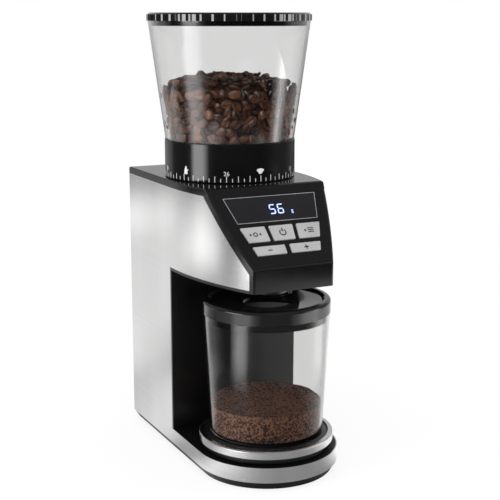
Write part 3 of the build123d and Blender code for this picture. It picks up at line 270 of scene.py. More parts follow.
ZERO_RING = (2.1 * MM, 1.2 * MM)
ZERO_TIP = ((3.0, 0.0), (5.2, 1.4), (5.2, -1.4))
CHOOSE_TIP = ((-4.8, 1.3), (-4.8, -1.3), (-2.6, 0.0))
CHOOSE_LINE = (5.4 * MM, 0.85 * MM)
CHOOSE_ASIDE = 1.0 * MM
CHOOSE_STEP = 1.8 * MM
SIGN_LONG = 4.0 * MM
SIGN_THICK = 1.0 * MM
SIGN_OVER = 1.05          # the plus sign's upright stands a little proud of its bar

nodes = frame["nodes"]
record = frame["record"]
slot_of = {part["node"]: part["material_slot"] for part in record["subparts"]}


def middle(node):
    """Middle of a node's box."""
    low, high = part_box(node)
    return (low + high) / 2


# Material helpers
def new_material(name):
    """An empty node material with a principled shader, and its tree."""
    made = bpy.data.materials.new(name)
    made.use_nodes = True
    tree = made.node_tree
    shader = tree.nodes["Principled BSDF"]
    return made, tree, shader


def object_coords(tree, scale):
    """Object coordinates stretched by a scale."""
    place = tree.nodes.new("ShaderNodeTexCoord")
    stretch = tree.nodes.new("ShaderNodeMapping")
    stretch.inputs["Scale"].default_value = scale
    tree.links.new(place.outputs["Object"], stretch.inputs["Vector"])
    return stretch.outputs["Vector"]


def noise_of(tree, scale, stretch=(1, 1, 1), detail=3.0, rough=0.5):
    """A noise pattern, as a grey value."""
    grain = tree.nodes.new("ShaderNodeTexNoise")
    grain.inputs["Scale"].default_value = scale
    grain.inputs["Detail"].default_value = detail
    grain.inputs["Roughness"].default_value = rough
    tree.links.new(object_coords(tree, stretch), grain.inputs["Vector"])
    return grain.outputs["Fac"]


def ramp(tree, value, stops):
    """A colour ramp over a grey value."""
    node = tree.nodes.new("ShaderNodeValToRGB")
    band = node.color_ramp
    while len(band.elements) < len(stops):
        band.elements.new(0.5)
    for element, (place, colour) in zip(band.elements, stops):
        element.position = place
        element.color = (*colour, 1)
    tree.links.new(value, node.inputs["Fac"])
    return node.outputs["Color"]


def spread(tree, value, low, high, start=0.3, end=0.7):
    """A grey value moved into a range."""
    node = tree.nodes.new("ShaderNodeMapRange")
    node.inputs["From Min"].default_value = start
    node.inputs["From Max"].default_value = end
    node.inputs["To Min"].default_value = low
    node.inputs["To Max"].default_value = high
    tree.links.new(value, node.inputs["Value"])
    return node.outputs["Result"]


def bump(tree, shader, value, depth, strength):
    """Relief on a shader, with its depth in metres."""
    node = tree.nodes.new("ShaderNodeBump")
    node.inputs["Strength"].default_value = strength
    node.inputs["Distance"].default_value = depth
    tree.links.new(value, node.inputs["Height"])
    tree.links.new(node.outputs["Normal"], shader.inputs["Normal"])


def work_out(tree, operation, first, second, third=0.0):
    """A sum on values that are each a socket or a number."""
    node = tree.nodes.new("ShaderNodeMath")
    node.operation = operation
    for socket, value in zip(node.inputs, (first, second, third)):
        if isinstance(value, (int, float)):
            socket.default_value = value
        else:
            tree.links.new(value, socket)
    return node.outputs["Value"]


def brushed_metal(name, dark, light, rough_low, rough_high, stretch):
    """Metal with fine brushing lines along the long way of the stretch, and soft upright bands of
    painted reflection in its colour.
    """
    made, tree, shader = new_material(name)
    lines = noise_of(tree, 1.0, stretch, detail=4.0, rough=0.65)
    # painted reflection: soft upright bands laid into the colour
    painted_reflection_bands = noise_of(tree, REFLECTION_BAND_SCALE, (1.0, 1.0, 0.12), detail=1.0)
    centred = work_out(tree, "SUBTRACT", painted_reflection_bands, 0.5)
    tone = work_out(tree, "MULTIPLY_ADD", centred, REFLECTION_BAND_SHARE, lines)
    colour = ramp(tree, tone, ((0.3, dark), (0.7, light)))
    tree.links.new(colour, shader.inputs["Base Color"])
    tree.links.new(spread(tree, lines, rough_low, rough_high), shader.inputs["Roughness"])
    shader.inputs["Metallic"].default_value = 1.0
    bump(tree, shader, lines, *BRUSH_RELIEF)
    return made


def moulded_plastic(name, dark, light, rough_low, rough_high, grain, depth, coat, gloss):
    """Moulded plastic: slight cloudiness in colour and gloss over a fine skin."""
    made, tree, shader = new_material(name)
    cloud = noise_of(tree, CLOUD_SCALE, detail=4.0)
    tree.links.new(ramp(tree, cloud, ((0.3, dark), (0.7, light))), shader.inputs["Base Color"])
    tree.links.new(spread(tree, cloud, rough_low, rough_high), shader.inputs["Roughness"])
    bump(tree, shader, noise_of(tree, grain, detail=2.0), depth, SKIN_STRENGTH)
    shader.inputs["Specular IOR Level"].default_value = gloss
    shader.inputs["Coat Weight"].default_value = coat
    shader.inputs["Coat Roughness"].default_value = COAT_ROUGHNESS
    return made


def clear_wall(name, tint, pale, shine):
    """Clear moulded wall with a faint ripple in its polish."""
    made, tree, shader = new_material(name)
    ripple = noise_of(tree, RIPPLE_SCALE, detail=1.0)
    tree.links.new(ramp(tree, ripple, ((0.3, tint), (0.7, pale))), shader.inputs["Base Color"])
    tree.links.new(spread(tree, ripple, 0.0, 0.03), shader.inputs["Roughness"])
    shader.inputs["Transmission Weight"].default_value = 1.0
    shader.inputs["IOR"].default_value = CLEAR_IOR
    shader.inputs["Specular Tint"].default_value = (shine, shine, shine, 1)
    return made


def board_skin(name):
    """Green circuit board with paler tracks."""
    made, tree, shader = new_material(name)
    tracks = tree.nodes.new("ShaderNodeTexBrick")
    tracks.inputs["Scale"].default_value = TRACK_SCALE
    tracks.inputs["Color1"].default_value = (0.02, 0.16, 0.06, 1)
    tracks.inputs["Color2"].default_value = (0.03, 0.20, 0.08, 1)
    tracks.inputs["Mortar"].default_value = (0.10, 0.34, 0.16, 1)
    tree.links.new(object_coords(tree, (1, 1, 1)), tracks.inputs["Vector"])
    tree.links.new(tracks.outputs["Color"], shader.inputs["Base Color"])
    mask = noise_of(tree, SOLDER_MASK_SCALE)
    tree.links.new(spread(tree, mask, 0.3, 0.5), shader.inputs["Roughness"])
    return made


def glowing_digits(name):
    """Blue-white light of the display, a little uneven along each bar."""
    made, tree, shader = new_material(name)
    glow = noise_of(tree, GLOW_SCALE)
    colour = ramp(tree, glow, ((0.3, (0.30, 0.40, 1.0)), (0.7, (0.48, 0.56, 1.0))))
    tree.links.new(colour, shader.inputs["Base Color"])
    tree.links.new(colour, shader.inputs["Emission Color"])
    shader.inputs["Emission Strength"].default_value = 1.0
    return made


def bean_skin(name):
    """Roasted bean: each one its own brown, mottled, with a dull oil gloss."""
    made, tree, shader = new_material(name)
    # the roast attribute carries each bean's own brown, with painted shade along the crease and in
    # the heap's dark core
    own = tree.nodes.new("ShaderNodeAttribute")
    own.attribute_name = "roast"
    mottle = noise_of(tree, MOTTLE_SCALE, detail=4.0)
    tone = work_out(tree, "MULTIPLY_ADD", mottle, MOTTLE_SHARE, own.outputs["Fac"])
    colour = ramp(tree, tone, (
        (0.10, (0.016, 0.006, 0.003)),
        (0.45, (0.190, 0.068, 0.034)),
        (0.80, (0.420, 0.190, 0.105)),
        (1.00, (0.640, 0.370, 0.240)),
    ))
    tree.links.new(colour, shader.inputs["Base Color"])
    tree.links.new(spread(tree, mottle, 0.18, 0.30), shader.inputs["Roughness"])
    bump(tree, shader, mottle, *BEAN_RELIEF)
    return made


def ground_coffee(name):
    """Ground coffee: dark and reddish grains a few tenths of a millimetre across."""
    made, tree, shader = new_material(name)
    grains = tree.nodes.new("ShaderNodeTexVoronoi")
    grains.inputs["Scale"].default_value = GRAIN_SCALE
    tree.links.new(object_coords(tree, (1, 1, 1)), grains.inputs["Vector"])
    grey = tree.nodes.new("ShaderNodeRGBToBW")
    tree.links.new(grains.outputs["Color"], grey.inputs["Color"])
    patch = noise_of(tree, PATCH_SCALE, detail=5.0)
    # painted light: the top face of the grounds is made paler than the sides
    painted_top_light = tree.nodes.new("ShaderNodeAttribute")
    painted_top_light.attribute_name = "painted_top_light"
    grain_tone = work_out(tree, "MULTIPLY_ADD", patch, PATCH_SHARE, grey.outputs["Val"])
    tone = work_out(tree, "MULTIPLY_ADD", painted_top_light.outputs["Fac"], PAINTED_TOP_LIGHT_SHARE, grain_tone)
    colour = ramp(tree, tone, (
        (0.46, (0.004, 0.001, 0.001)),
        (0.64, (0.075, 0.021, 0.009)),
        (0.80, (0.230, 0.078, 0.036)),
        (0.95, (0.600, 0.280, 0.165)),
    ))
    tree.links.new(colour, shader.inputs["Base Color"])
    tree.links.new(spread(tree, patch, 0.75, 0.95), shader.inputs["Roughness"])
    bump(tree, shader, grains.outputs["Distance"], *GRAIN_RELIEF)
    return made


HORIZONTAL = (4.0, 4.0, 4200.0)
METALS = {                # dark, light, least and most roughness, stretch of the brushing
    "brushed_steel": ((0.59, 0.59, 0.587), (0.69, 0.69, 0.687), 0.16, 0.23, HORIZONTAL),
    "tool_steel": ((0.36, 0.36, 0.37), (0.50, 0.50, 0.51), 0.22, 0.40, (1500.0, 1500.0, 40.0)),
    "cast_alloy": ((0.50, 0.51, 0.52), (0.66, 0.67, 0.68), 0.42, 0.60, (260.0, 260.0, 260.0)),
    "bronze": ((0.46, 0.30, 0.12), (0.66, 0.47, 0.20), 0.30, 0.46, (700.0, 700.0, 90.0)),
    "motor_steel": ((0.30, 0.30, 0.31), (0.46, 0.46, 0.47), 0.32, 0.50, (400.0, 400.0, 60.0)),
    "screw_steel": ((0.50, 0.50, 0.50), (0.68, 0.68, 0.68), 0.18, 0.32, (900.0, 900.0, 900.0)),
}
PLASTICS = {              # dark, light, least and most roughness, grain, its depth, coat, gloss
    "black_gloss": (
        (0.0028, 0.0028, 0.0030), (0.0042, 0.0042, 0.0045), 0.06, 0.11, 900.0, 0.00001, 0.0, 0.5
    ),
    "lid_polish": (
        (0.0026, 0.0026, 0.0028), (0.0040, 0.0040, 0.0042), 0.05, 0.10, 900.0, 0.00001, 0.5, 0.6
    ),
    "black_satin": (
        (0.0026, 0.0026, 0.0028), (0.0042, 0.0042, 0.0044), 0.30, 0.40, 2200.0, 0.00004, 0.0, 0.5
    ),
    "deck_matt": (
        (0.0022, 0.0022, 0.0024), (0.0036, 0.0036, 0.0038), 0.40, 0.50, 2200.0, 0.00004, 0.0, 0.2
    ),
    "key_silver": (
        (0.333, 0.333, 0.331), (0.400, 0.400, 0.397), 0.38, 0.50, 3200.0, 0.00003, 0.0, 0.5
    ),
    "display_black": (
        (0.006, 0.006, 0.008), (0.009, 0.009, 0.011), 0.05, 0.09, 500.0, 0.00001, 0.4, 0.5
    ),
    "rubber": ((0.018, 0.018, 0.018), (0.030, 0.030, 0.030), 0.75, 0.90, 1800.0, 0.0001, 0.0, 0.5),
    "gear_nylon": ((0.70, 0.68, 0.60), (0.80, 0.78, 0.70), 0.35, 0.50, 1200.0, 0.00004, 0.0, 0.5),
    "white_print": ((0.72, 0.72, 0.71), (0.82, 0.82, 0.81), 0.4, 0.6, 900.0, 0.00002, 0.0, 0.5),
    "grey_print": ((0.26, 0.26, 0.26), (0.36, 0.36, 0.36), 0.4, 0.6, 900.0, 0.00002, 0.0, 0.5),
    "dark_print": (
        (0.006, 0.006, 0.007), (0.014, 0.014, 0.014), 0.5, 0.7, 900.0, 0.00002, 0.0, 0.5
    ),
}
CLEAR_WALLS = {           # tint, paler tint, strength of the mirrored studio
    "clear_jar": ((0.800, 0.800, 0.795), (0.820, 0.820, 0.815), 0.45),
    "clear_hopper": ((0.870, 0.870, 0.868), (0.888, 0.888, 0.886), 1.0),
}
OWN_FINISH = {            # nodes that are smoother or duller than the rest of their slot
    "hopper_lid": "lid_polish",
    "base_deck": "deck_matt",
    "base_pan": "deck_matt",
    "discharge_chute": "black_gloss",
}
finish = {"board_green": board_skin("board_green")}
for make, table in (
    (brushed_metal, METALS),
    (moulded_plastic, PLASTICS),
    (clear_wall, CLEAR_WALLS),
):
    for name, values in table.items():
        finish[name] = make(name, *values)
digits_glow = glowing_digits("digits_glow")
roasted = bean_skin("roasted_bean")
grounds_skin = ground_coffee("ground_coffee")

# Every solid takes the finish of its slot
for node, solid in nodes.items():
    for place in solid.material_slots:
        place.material = finish[OWN_FINISH.get(node, slot_of[node])]


# Modelling helpers
def clear_selection():
    for item in bpy.context.view_layer.objects:
        item.select_set(False)


def named(name):
    """The object that an operator just made, under its own name."""
    made = bpy.context.object
    made.name = name
    made.data.name = name
    return made


def dress(piece, material, body):
    """Finish, body and slot of a new piece."""
    piece.data.materials.clear()
    piece.data.materials.append(material)
    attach(piece, body)
    return piece


def join(pieces, name):
    """Several pieces made one mesh."""
    clear_selection()
    for piece in pieces:
        piece.select_set(True)
    bpy.context.view_layer.objects.active = pieces[0]
    bpy.ops.object.join()
    return named(name)


def flat_shape(name, outline, thick):
    """A thin plate of an outline on the ground plane, its face on top."""
    clear_selection()
    bpy.ops.mesh.primitive_circle_add(vertices=len(outline), fill_type="NGON")
    piece = named(name)
    for vertex, (x, y) in zip(piece.data.vertices, outline):
        vertex.co = (x, y, 0)
    bpy.ops.object.mode_set(mode="EDIT")
    bpy.ops.mesh.select_all(action="SELECT")
    bpy.ops.mesh.extrude_region_move(TRANSFORM_OT_translate={"value": (0, 0, thick)})
    bpy.ops.mesh.select_all(action="SELECT")
    bpy.ops.mesh.normals_make_consistent(inside=False)
    bpy.ops.object.mode_set(mode="OBJECT")
    return piece


def bar(name, x, y, wide, tall, thick):
    """A thin rectangular plate."""
    w, h = wide / 2, tall / 2
    return flat_shape(name, ((x - w, y - h), (x + w, y - h), (x + w, y + h), (x - w, y + h)), thick)


def arc_band(name, r_out, r_in, start, end, steps, thick):
    """A flat sector of a ring."""
    outline = []
    for r, angles in ((r_out, range(steps + 1)), (r_in, range(steps, -1, -1))):
        for step in angles:
            a = math.radians(start + (end - start) * step / steps)
            outline.append((r * math.cos(a), r * math.sin(a)))
    return flat_shape(name, outline, thick)


def lettering(name, words, size, thick):
    """Plain figures as a mesh, centred on the origin."""
    clear_selection()
    bpy.ops.object.text_add()
    piece = bpy.context.object
    piece.data.body = words
    piece.data.size = size
    piece.data.align_x = "CENTER"
    piece.data.align_y = "CENTER"
    piece.data.extrude = thick / 2
    piece.data.resolution_u = 3
    bpy.ops.object.convert(target="MESH")
    return named(name)


def wrap(piece, axis, radius, angle, height):
    """Bends a flat plate round an upright cylinder: X goes round it, Y up, Z outwards."""
    for vertex in piece.data.vertices:
        x, y, z = vertex.co
        turn = math.radians(angle) + x / radius
        r = radius + z
        vertex.co = (axis.x + r * math.sin(turn), axis.y - r * math.cos(turn), height + y)


# Frame of the sloping panel
press = next(joint for joint in frame["joints"] if joint["name"] == "power_key_press")
panel_out = -Vector(press["axis"]).normalized()
panel_across = Vector((1, 0, 0))
panel_up = panel_out.cross(panel_across).normalized()


def face_middle(node):
    """Middle of a node's outermost face along the panel's normal."""
    points = [vertex.co for vertex in nodes[node].data.vertices]
    outer = max(point.dot(panel_out) for point in points)
    face = [point for point in points if outer - point.dot(panel_out) < 0.05 * MM]
    across = [point.dot(panel_across) for point in face]
    up = [point.dot(panel_up) for point in face]
    return (
        panel_across * (min(across) + max(across)) / 2
        + panel_up * (min(up) + max(up)) / 2
        + panel_out * outer
    )


def lay_on_panel(piece, origin):
    """Sets a flat plate on the panel, with its own origin at a point."""
    turn = Matrix((panel_across, panel_up, panel_out)).transposed().to_4x4()
    piece.data.transform(Matrix.Translation(origin) @ turn)


# Dial ring: ticks, numbers and two plain pictures
ring_axis = middle("adjust_ring")
ring_low, ring_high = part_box("adjust_ring")
ring_r = (ring_high.x - ring_low.x) / 2
facing = -CAMERA_TURN - DIAL_SHIFT


def dial_ticks():
    marks = []
    for tick in range(TICKS):
        tall = TICK_LONG if tick % 2 == 0 else TICK_SHORT
        mark = bar(f"tick_{tick}", 0, TICK_FOOT + tall / 2, TICK_WIDTH, tall, PRINT)
        wrap(mark, ring_axis, ring_r, facing + 360 * tick / TICKS, ring_low.z)
        marks.append(mark)
    return join(marks, "dial_ticks")


def dial_numbers():
    marks = []
    for words, angle in DIAL_NUMBERS:
        mark = lettering(f"number_{words}", words, NUMBER_SIZE, PRINT)
        wrap(mark, ring_axis, ring_r, facing + angle, ring_low.z + NUMBER_RISE + TICK_FOOT)
        marks.append(mark)
    return join(marks, "dial_numbers")


def dial_pictures():
    """A pot with a spout for the fine end, a filter cone for the coarse end."""
    marks = []
    for name, angle, outline in DIAL_PICTURES:
        mark = flat_shape(name, [(x * MM, y * MM) for x, y in outline], PRINT)
        wrap(mark, ring_axis, ring_r, facing + angle, ring_low.z + NUMBER_RISE + PICTURE_RISE)
        marks.append(mark)
    return join(marks, "dial_pictures")


for piece in (dial_ticks(), dial_numbers(), dial_pictures()):
    dress(piece, finish["white_print"], "dial")


# Display: frame line, lit figures and the unit
def frame_line():
    """Thin line round the window, a little inside its edge."""
    origin = face_middle("display_window")
    points = [vertex.co for vertex in nodes["display_window"].data.vertices]
    up = [(point - origin).dot(panel_up) for point in points]
    low, high = min(up), max(up)
    wide_low = max(abs(p.x) for p, u in zip(points, up) if u < low + FRAME_NEAR)
    wide_high = max(abs(p.x) for p, u in zip(points, up) if u > high - FRAME_NEAR)
    edge = FRAME_INSET
    outline = [
        (-wide_low + edge, low + edge),
        (wide_low - edge, low + edge),
        (wide_high - edge, high - edge),
        (-wide_high + edge, high - edge),
    ]
    clear_selection()
    bpy.ops.mesh.primitive_plane_add()
    piece = named("display_frame_line")
    order = sorted(piece.data.vertices, key=lambda v: math.atan2(v.co.y, v.co.x))
    for vertex, (x, y) in zip(order, outline):
        vertex.co = (x, y, 0)
    bpy.ops.object.mode_set(mode="EDIT")
    bpy.ops.mesh.select_all(action="SELECT")
    bpy.ops.mesh.inset(thickness=FRAME_LINE)
    bpy.ops.mesh.delete(type="FACE")
    bpy.ops.mesh.select_all(action="SELECT")
    bpy.ops.mesh.extrude_region_move(TRANSFORM_OT_translate={"value": (0, 0, PRINT)})
    bpy.ops.mesh.select_all(action="SELECT")
    bpy.ops.mesh.normals_make_consistent(inside=False)
    bpy.ops.object.mode_set(mode="OBJECT")
    lay_on_panel(piece, origin)
    return piece


def seven_segments(figure, x):
    """The lit bars of one figure of the display, at a place across it."""
    w, h, t = DIGIT_WIDTH, DIGIT_HEIGHT, DIGIT_STROKE
    half = h / 2
    lying = w - 1.5 * t
    standing = half - 1.2 * t
    places = {
        "a": (0, half - t / 2, lying, t),
        "g": (0, 0, lying, t),
        "d": (0, -half + t / 2, lying, t),
        "f": (-w / 2 + t / 2, half / 2, t, standing),
        "b": (w / 2 - t / 2, half / 2, t, standing),
        "e": (-w / 2 + t / 2, -half / 2, t, standing),
        "c": (w / 2 - t / 2, -half / 2, t, standing),
    }
    bars = []
    for segment in SEGMENTS[figure]:
        bx, by, wide, tall = places[segment]
        piece = bar(f"segment_{figure}{segment}", bx, by, wide, tall, PRINT)
        for vertex in piece.data.vertices:
            vertex.co.x += x + DIGIT_LEAN * vertex.co.y
        bars.append(piece)
    return bars


def display_figures():
    step = (DIGIT_WIDTH + DIGIT_GAP) / 2
    bars = seven_segments("5", -step) + seven_segments("6", step)
    unit = lettering("unit", "g", UNIT_SIZE, PRINT)
    unit.data.transform(Matrix.Translation((3.0 * step + UNIT_ASIDE, -UNIT_DROP, 0)))
    piece = join(bars + [unit], "display_figures")
    shift = panel_across * DIGIT_ASIDE - panel_up * DIGIT_DROP
    lay_on_panel(piece, face_middle("display_window") + shift)
    return piece


dress(frame_line(), finish["grey_print"], "housing")
dress(display_figures(), digits_glow, "housing")


# Marks on the keys
def power_mark():
    ring = arc_band("power_ring", *POWER_RING, *POWER_ARC, ARC_STEPS, PRINT)
    stem = bar("power_stem", *POWER_STEM, PRINT)
    return join([ring, stem], "power_mark")


def zero_mark():
    """A ring between two arrowheads: back to zero."""
    ring = arc_band("zero_ring", *ZERO_RING, 0, 360, ARC_STEPS, PRINT)
    tips = []
    for side in (-1, 1):
        outline = [(side * x * MM, y * MM) for x, y in ZERO_TIP]
        tips.append(flat_shape(f"zero_tip_{side}", outline, PRINT))
    return join([ring, *tips], "zero_mark")


def choose_mark():
    """Three short lines and a pointer: choose from a list."""
    lines = [
        bar(f"choose_line_{row}", CHOOSE_ASIDE, row * CHOOSE_STEP, *CHOOSE_LINE, PRINT)
        for row in (-1, 0, 1)
    ]
    lines.append(flat_shape("choose_tip", [(x * MM, y * MM) for x, y in CHOOSE_TIP], PRINT))
    return join(lines, "choose_mark")


def minus_mark():
    return bar("minus_mark", 0, 0, SIGN_LONG, SIGN_THICK, PRINT)


def plus_mark():
    across = bar("plus_across", 0, 0, SIGN_LONG, SIGN_THICK, PRINT)
    upright = bar("plus_upright", 0, 0, SIGN_THICK, SIGN_LONG, PRINT * SIGN_OVER)
    return join([across, upright], "plus_mark")


for key, mark in (
    ("left_button", zero_mark()),
    ("power_button", power_mark()),
    ("right_button", choose_mark()),
    ("minus_button", minus_mark()),
    ("plus_button", plus_mark()),
):
    lay_on_panel(mark, face_middle(key))
    dress(mark, finish["dark_print"], f"{key}_body")


# Beans in the hopper
hopper_axis = middle("hopper")
hopper_low, hopper_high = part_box("hopper")
seat_z = ring_high.z
wall_foot_r = ring_r - HOPPER_FOOT_INSET
wall_top_r = (hopper_high.x - hopper_low.x) / 2 - HOPPER_WALL


def hopper_inner_r(z):
    """Radius inside the hopper's wall at a height."""
    return wall_foot_r + (wall_top_r - wall_foot_r) * (z - seat_z) / (hopper_high.z - seat_z)


def heap_top(x, y):
    """Height of the heap at a place beside the hopper's axis."""
    rim = hopper_inner_r(seat_z + BEAN_LEVEL)
    span = 2 * BEAN_SIZE[0]
    wave = BEAN_WAVE * noise.noise(Vector((x / span, y / span, WAVE_SLICE)))
    return seat_z + BEAN_LEVEL + BEAN_CROWN * (1 - (x * x + y * y) / rim**2) + wave


def one_bean():
    """A bean: flat on one side, with a crease along it."""
    clear_selection()
    bpy.ops.mesh.primitive_uv_sphere_add(
        segments=BEAN_SIDES, ring_count=BEAN_RINGS, radius=0.5
    )
    piece = named("bean")
    bpy.ops.object.mode_set(mode="EDIT")
    bpy.ops.mesh.select_all(action="SELECT")
    bpy.ops.transform.rotate(value=math.pi / 2, orient_axis="Y", center_override=(0, 0, 0))
    bpy.ops.transform.resize(value=BEAN_SIZE)
    bpy.ops.object.mode_set(mode="OBJECT")
    half_wide, half_thick = BEAN_SIZE[1] / 2, BEAN_SIZE[2] / 2
    for vertex in piece.data.vertices:
        if vertex.co.z < FLAT_FROM * half_thick:
            vertex.co.z *= FLAT_SIDE
            if abs(vertex.co.y) < CREASE_HALF * half_wide:
                vertex.co.z += CREASE_DEPTH * half_thick
            elif abs(vertex.co.y) < LIP_REACH * half_wide:
                vertex.co.y *= LIP_PINCH
    bpy.ops.object.shade_smooth()
    return piece


def roast_with_crease_shade(bean, own):
    """A bean's brown at each of its points: its own roast, and darker along the crease as painted
    shade.
    """
    crease = CREASE_HALF * BEAN_SIZE[1] / 2
    return [
        own - CREASE_SHADE if point.co.z < 0 and abs(point.co.y) < crease else own
        for point in bean.data.vertices
    ]


def bean_turn(out, tilt):
    """A random turn with the bean's thin way near a direction."""
    flip = random.choice((0, math.pi))
    lean = Vector([random.uniform(-tilt, tilt) for way in range(3)])
    aim = (out + lean).normalized()
    return (
        aim.to_track_quat("Z", "Y").to_matrix().to_4x4()
        @ Matrix.Rotation(random.uniform(0, 2 * math.pi), 4, "Z")
        @ Matrix.Rotation(flip, 4, "X")
    )


def poured_beans():
    """Rough middles of the beans: two layers at the wall, then two over the heap."""
    points = []
    for layer in (0, 1):
        inset = BEAN_SIZE[2] * (BEAN_INSET + layer)
        z = seat_z - BEAN_ROW / 2
        while z < seat_z + BEAN_LEVEL:
            r = hopper_inner_r(z) - inset
            count = int(2 * math.pi * r / BEAN_PITCH)
            for step in range(count):
                a = 2 * math.pi * (step + random.uniform(-BEAN_JITTER, BEAN_JITTER)) / count
                rise = random.uniform(-BEAN_JITTER, BEAN_JITTER) * BEAN_ROW
                points.append(Vector((r * math.cos(a), r * math.sin(a), z + rise)))
            z += BEAN_ROW
    reach = hopper_inner_r(seat_z + BEAN_LEVEL) - BEAN_SIZE[0]
    count = int(math.pi * reach**2 / BEAN_ROOM**2)
    for layer in (0, 1):
        for step in range(count):
            r = reach * math.sqrt((step + 0.5) / count)
            a = step * math.pi * GOLDEN_TURN + layer
            x, y = r * math.cos(a), r * math.sin(a)
            z = heap_top(x, y) - layer * BEAN_SIZE[2] + random.uniform(-1, 1) * HEAP_JITTER
            points.append(Vector((x, y, z)))
    return points


def kept_inside(point):
    """A bean's middle, moved back inside the wall and under the heap's top."""
    flat = Vector((point.x, point.y))
    limit = hopper_inner_r(point.z) - BEAN_SIZE[2] * BEAN_INSET
    if flat.length > limit:
        flat *= limit / flat.length
    z = min(max(point.z, seat_z - BEAN_ROW / 2), heap_top(flat.x, flat.y))
    return Vector((flat.x, flat.y, z))


def settled(points):
    """The beans pushed apart until they lie beside each other."""
    for turn in range(SETTLE_ROUNDS):
        near = kdtree.KDTree(len(points))
        for index, point in enumerate(points):
            near.insert(point, index)
        near.balance()
        moved = []
        for point in points:
            push = Vector()
            for other, index, gap in near.find_range(point, BEAN_ROOM):
                if gap > 0:
                    push += (point - other) * (BEAN_ROOM / gap - 1) * SETTLE_PUSH
            moved.append(kept_inside(point + push))
        points = moved
    return points


def bean_places():
    """Place and turn of every bean: flat against the wall, more loosely on the heap."""
    places = []
    for point in settled(poured_beans()):
        flat = Vector((point.x, point.y, 0))
        if hopper_inner_r(point.z) - flat.length < BEAN_SIZE[2] * BEAN_AT_WALL:
            turn = bean_turn(flat.normalized(), WALL_TILT)
        else:
            turn = bean_turn(Vector((0, 0, 1)), HEAP_TILT)
        places.append((point + Vector((hopper_axis.x, hopper_axis.y, 0)), turn))
    return places


def coffee_beans():
    first = one_bean()
    beans = []
    for point, turn in bean_places():
        copy = first.copy()
        copy.data = first.data.copy()
        bpy.context.scene.collection.objects.link(copy)
        size = random.uniform(*BEAN_SCALE)
        roast = random.gauss(ROAST_MIDDLE, ROAST_SPREAD)
        roast = min(max(roast, ROAST_ENDS[0]), ROAST_ENDS[1])
        # the roast attribute holds the bean's own brown with painted shade along the crease
        tone = copy.data.attributes.new("roast", "FLOAT", "POINT")
        tone.data.foreach_set("value", roast_with_crease_shade(copy, roast))
        copy.data.transform(Matrix.Translation(point) @ turn @ Matrix.Scale(size, 4))
        beans.append(copy)
    bpy.data.objects.remove(first)
    return join(beans, "coffee_beans")


def shaded_bean_core():
    """Dark middle of the heap, behind the beans that show: painted shade in the darkest bean brown,
    where the inner beans lie in shade.
    """
    clear_selection()
    bpy.ops.mesh.primitive_cylinder_add(vertices=CORE_SIDES, radius=1.0, depth=1.0)
    piece = named("shaded_bean_core")
    low = seat_z - CORE_DROP
    high = seat_z + BEAN_LEVEL
    bpy.ops.object.mode_set(mode="EDIT")
    bpy.ops.mesh.select_all(action="SELECT")
    bpy.ops.mesh.subdivide(number_cuts=3)
    bpy.ops.object.mode_set(mode="OBJECT")
    for vertex in piece.data.vertices:
        z = low + (vertex.co.z + 0.5) * (high - low)
        flat = Vector((vertex.co.x, vertex.co.y))
        r = (hopper_inner_r(z) - CORE_INSET * BEAN_SIZE[2]) * flat.length
        if vertex.co.z > 0.499:
            z += BEAN_CROWN * (1 - flat.length**2) - BEAN_SIZE[2]
        around = math.atan2(flat.y, flat.x)
        spot = Vector((flat.x * CORE_WAVE_FLAT, flat.y * CORE_WAVE_FLAT, z * CORE_WAVE_TALL))
        wave = noise.noise(spot) * CORE_WAVE
        r = max(r + wave, 0) if flat.length > 1e-6 else 0
        vertex.co = (
            hopper_axis.x + r * math.cos(around),
            hopper_axis.y + r * math.sin(around),
            z + wave,
        )
    tone = piece.data.attributes.new("roast", "FLOAT", "POINT")
    # darkest roast, as painted shade of the heap's depth
    tone.data.foreach_set("value", [ROAST_ENDS[0]] * len(piece.data.vertices))
    return piece


for piece in (coffee_beans(), shaded_bean_core()):
    dress(piece, roasted, "hopper")

# Ground coffee in the jar
jar_axis = middle("jar")
jar_low, jar_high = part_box("jar")


def jar_inner_r(z):
    """Radius inside the jar's wall at a height."""
    top_r = (jar_high.x - jar_low.x) / 2
    foot_r = top_r - JAR_TAPER
    share = (z - jar_low.z) / (jar_high.z - jar_low.z)
    return foot_r + (top_r - foot_r) * share - JAR_WALL


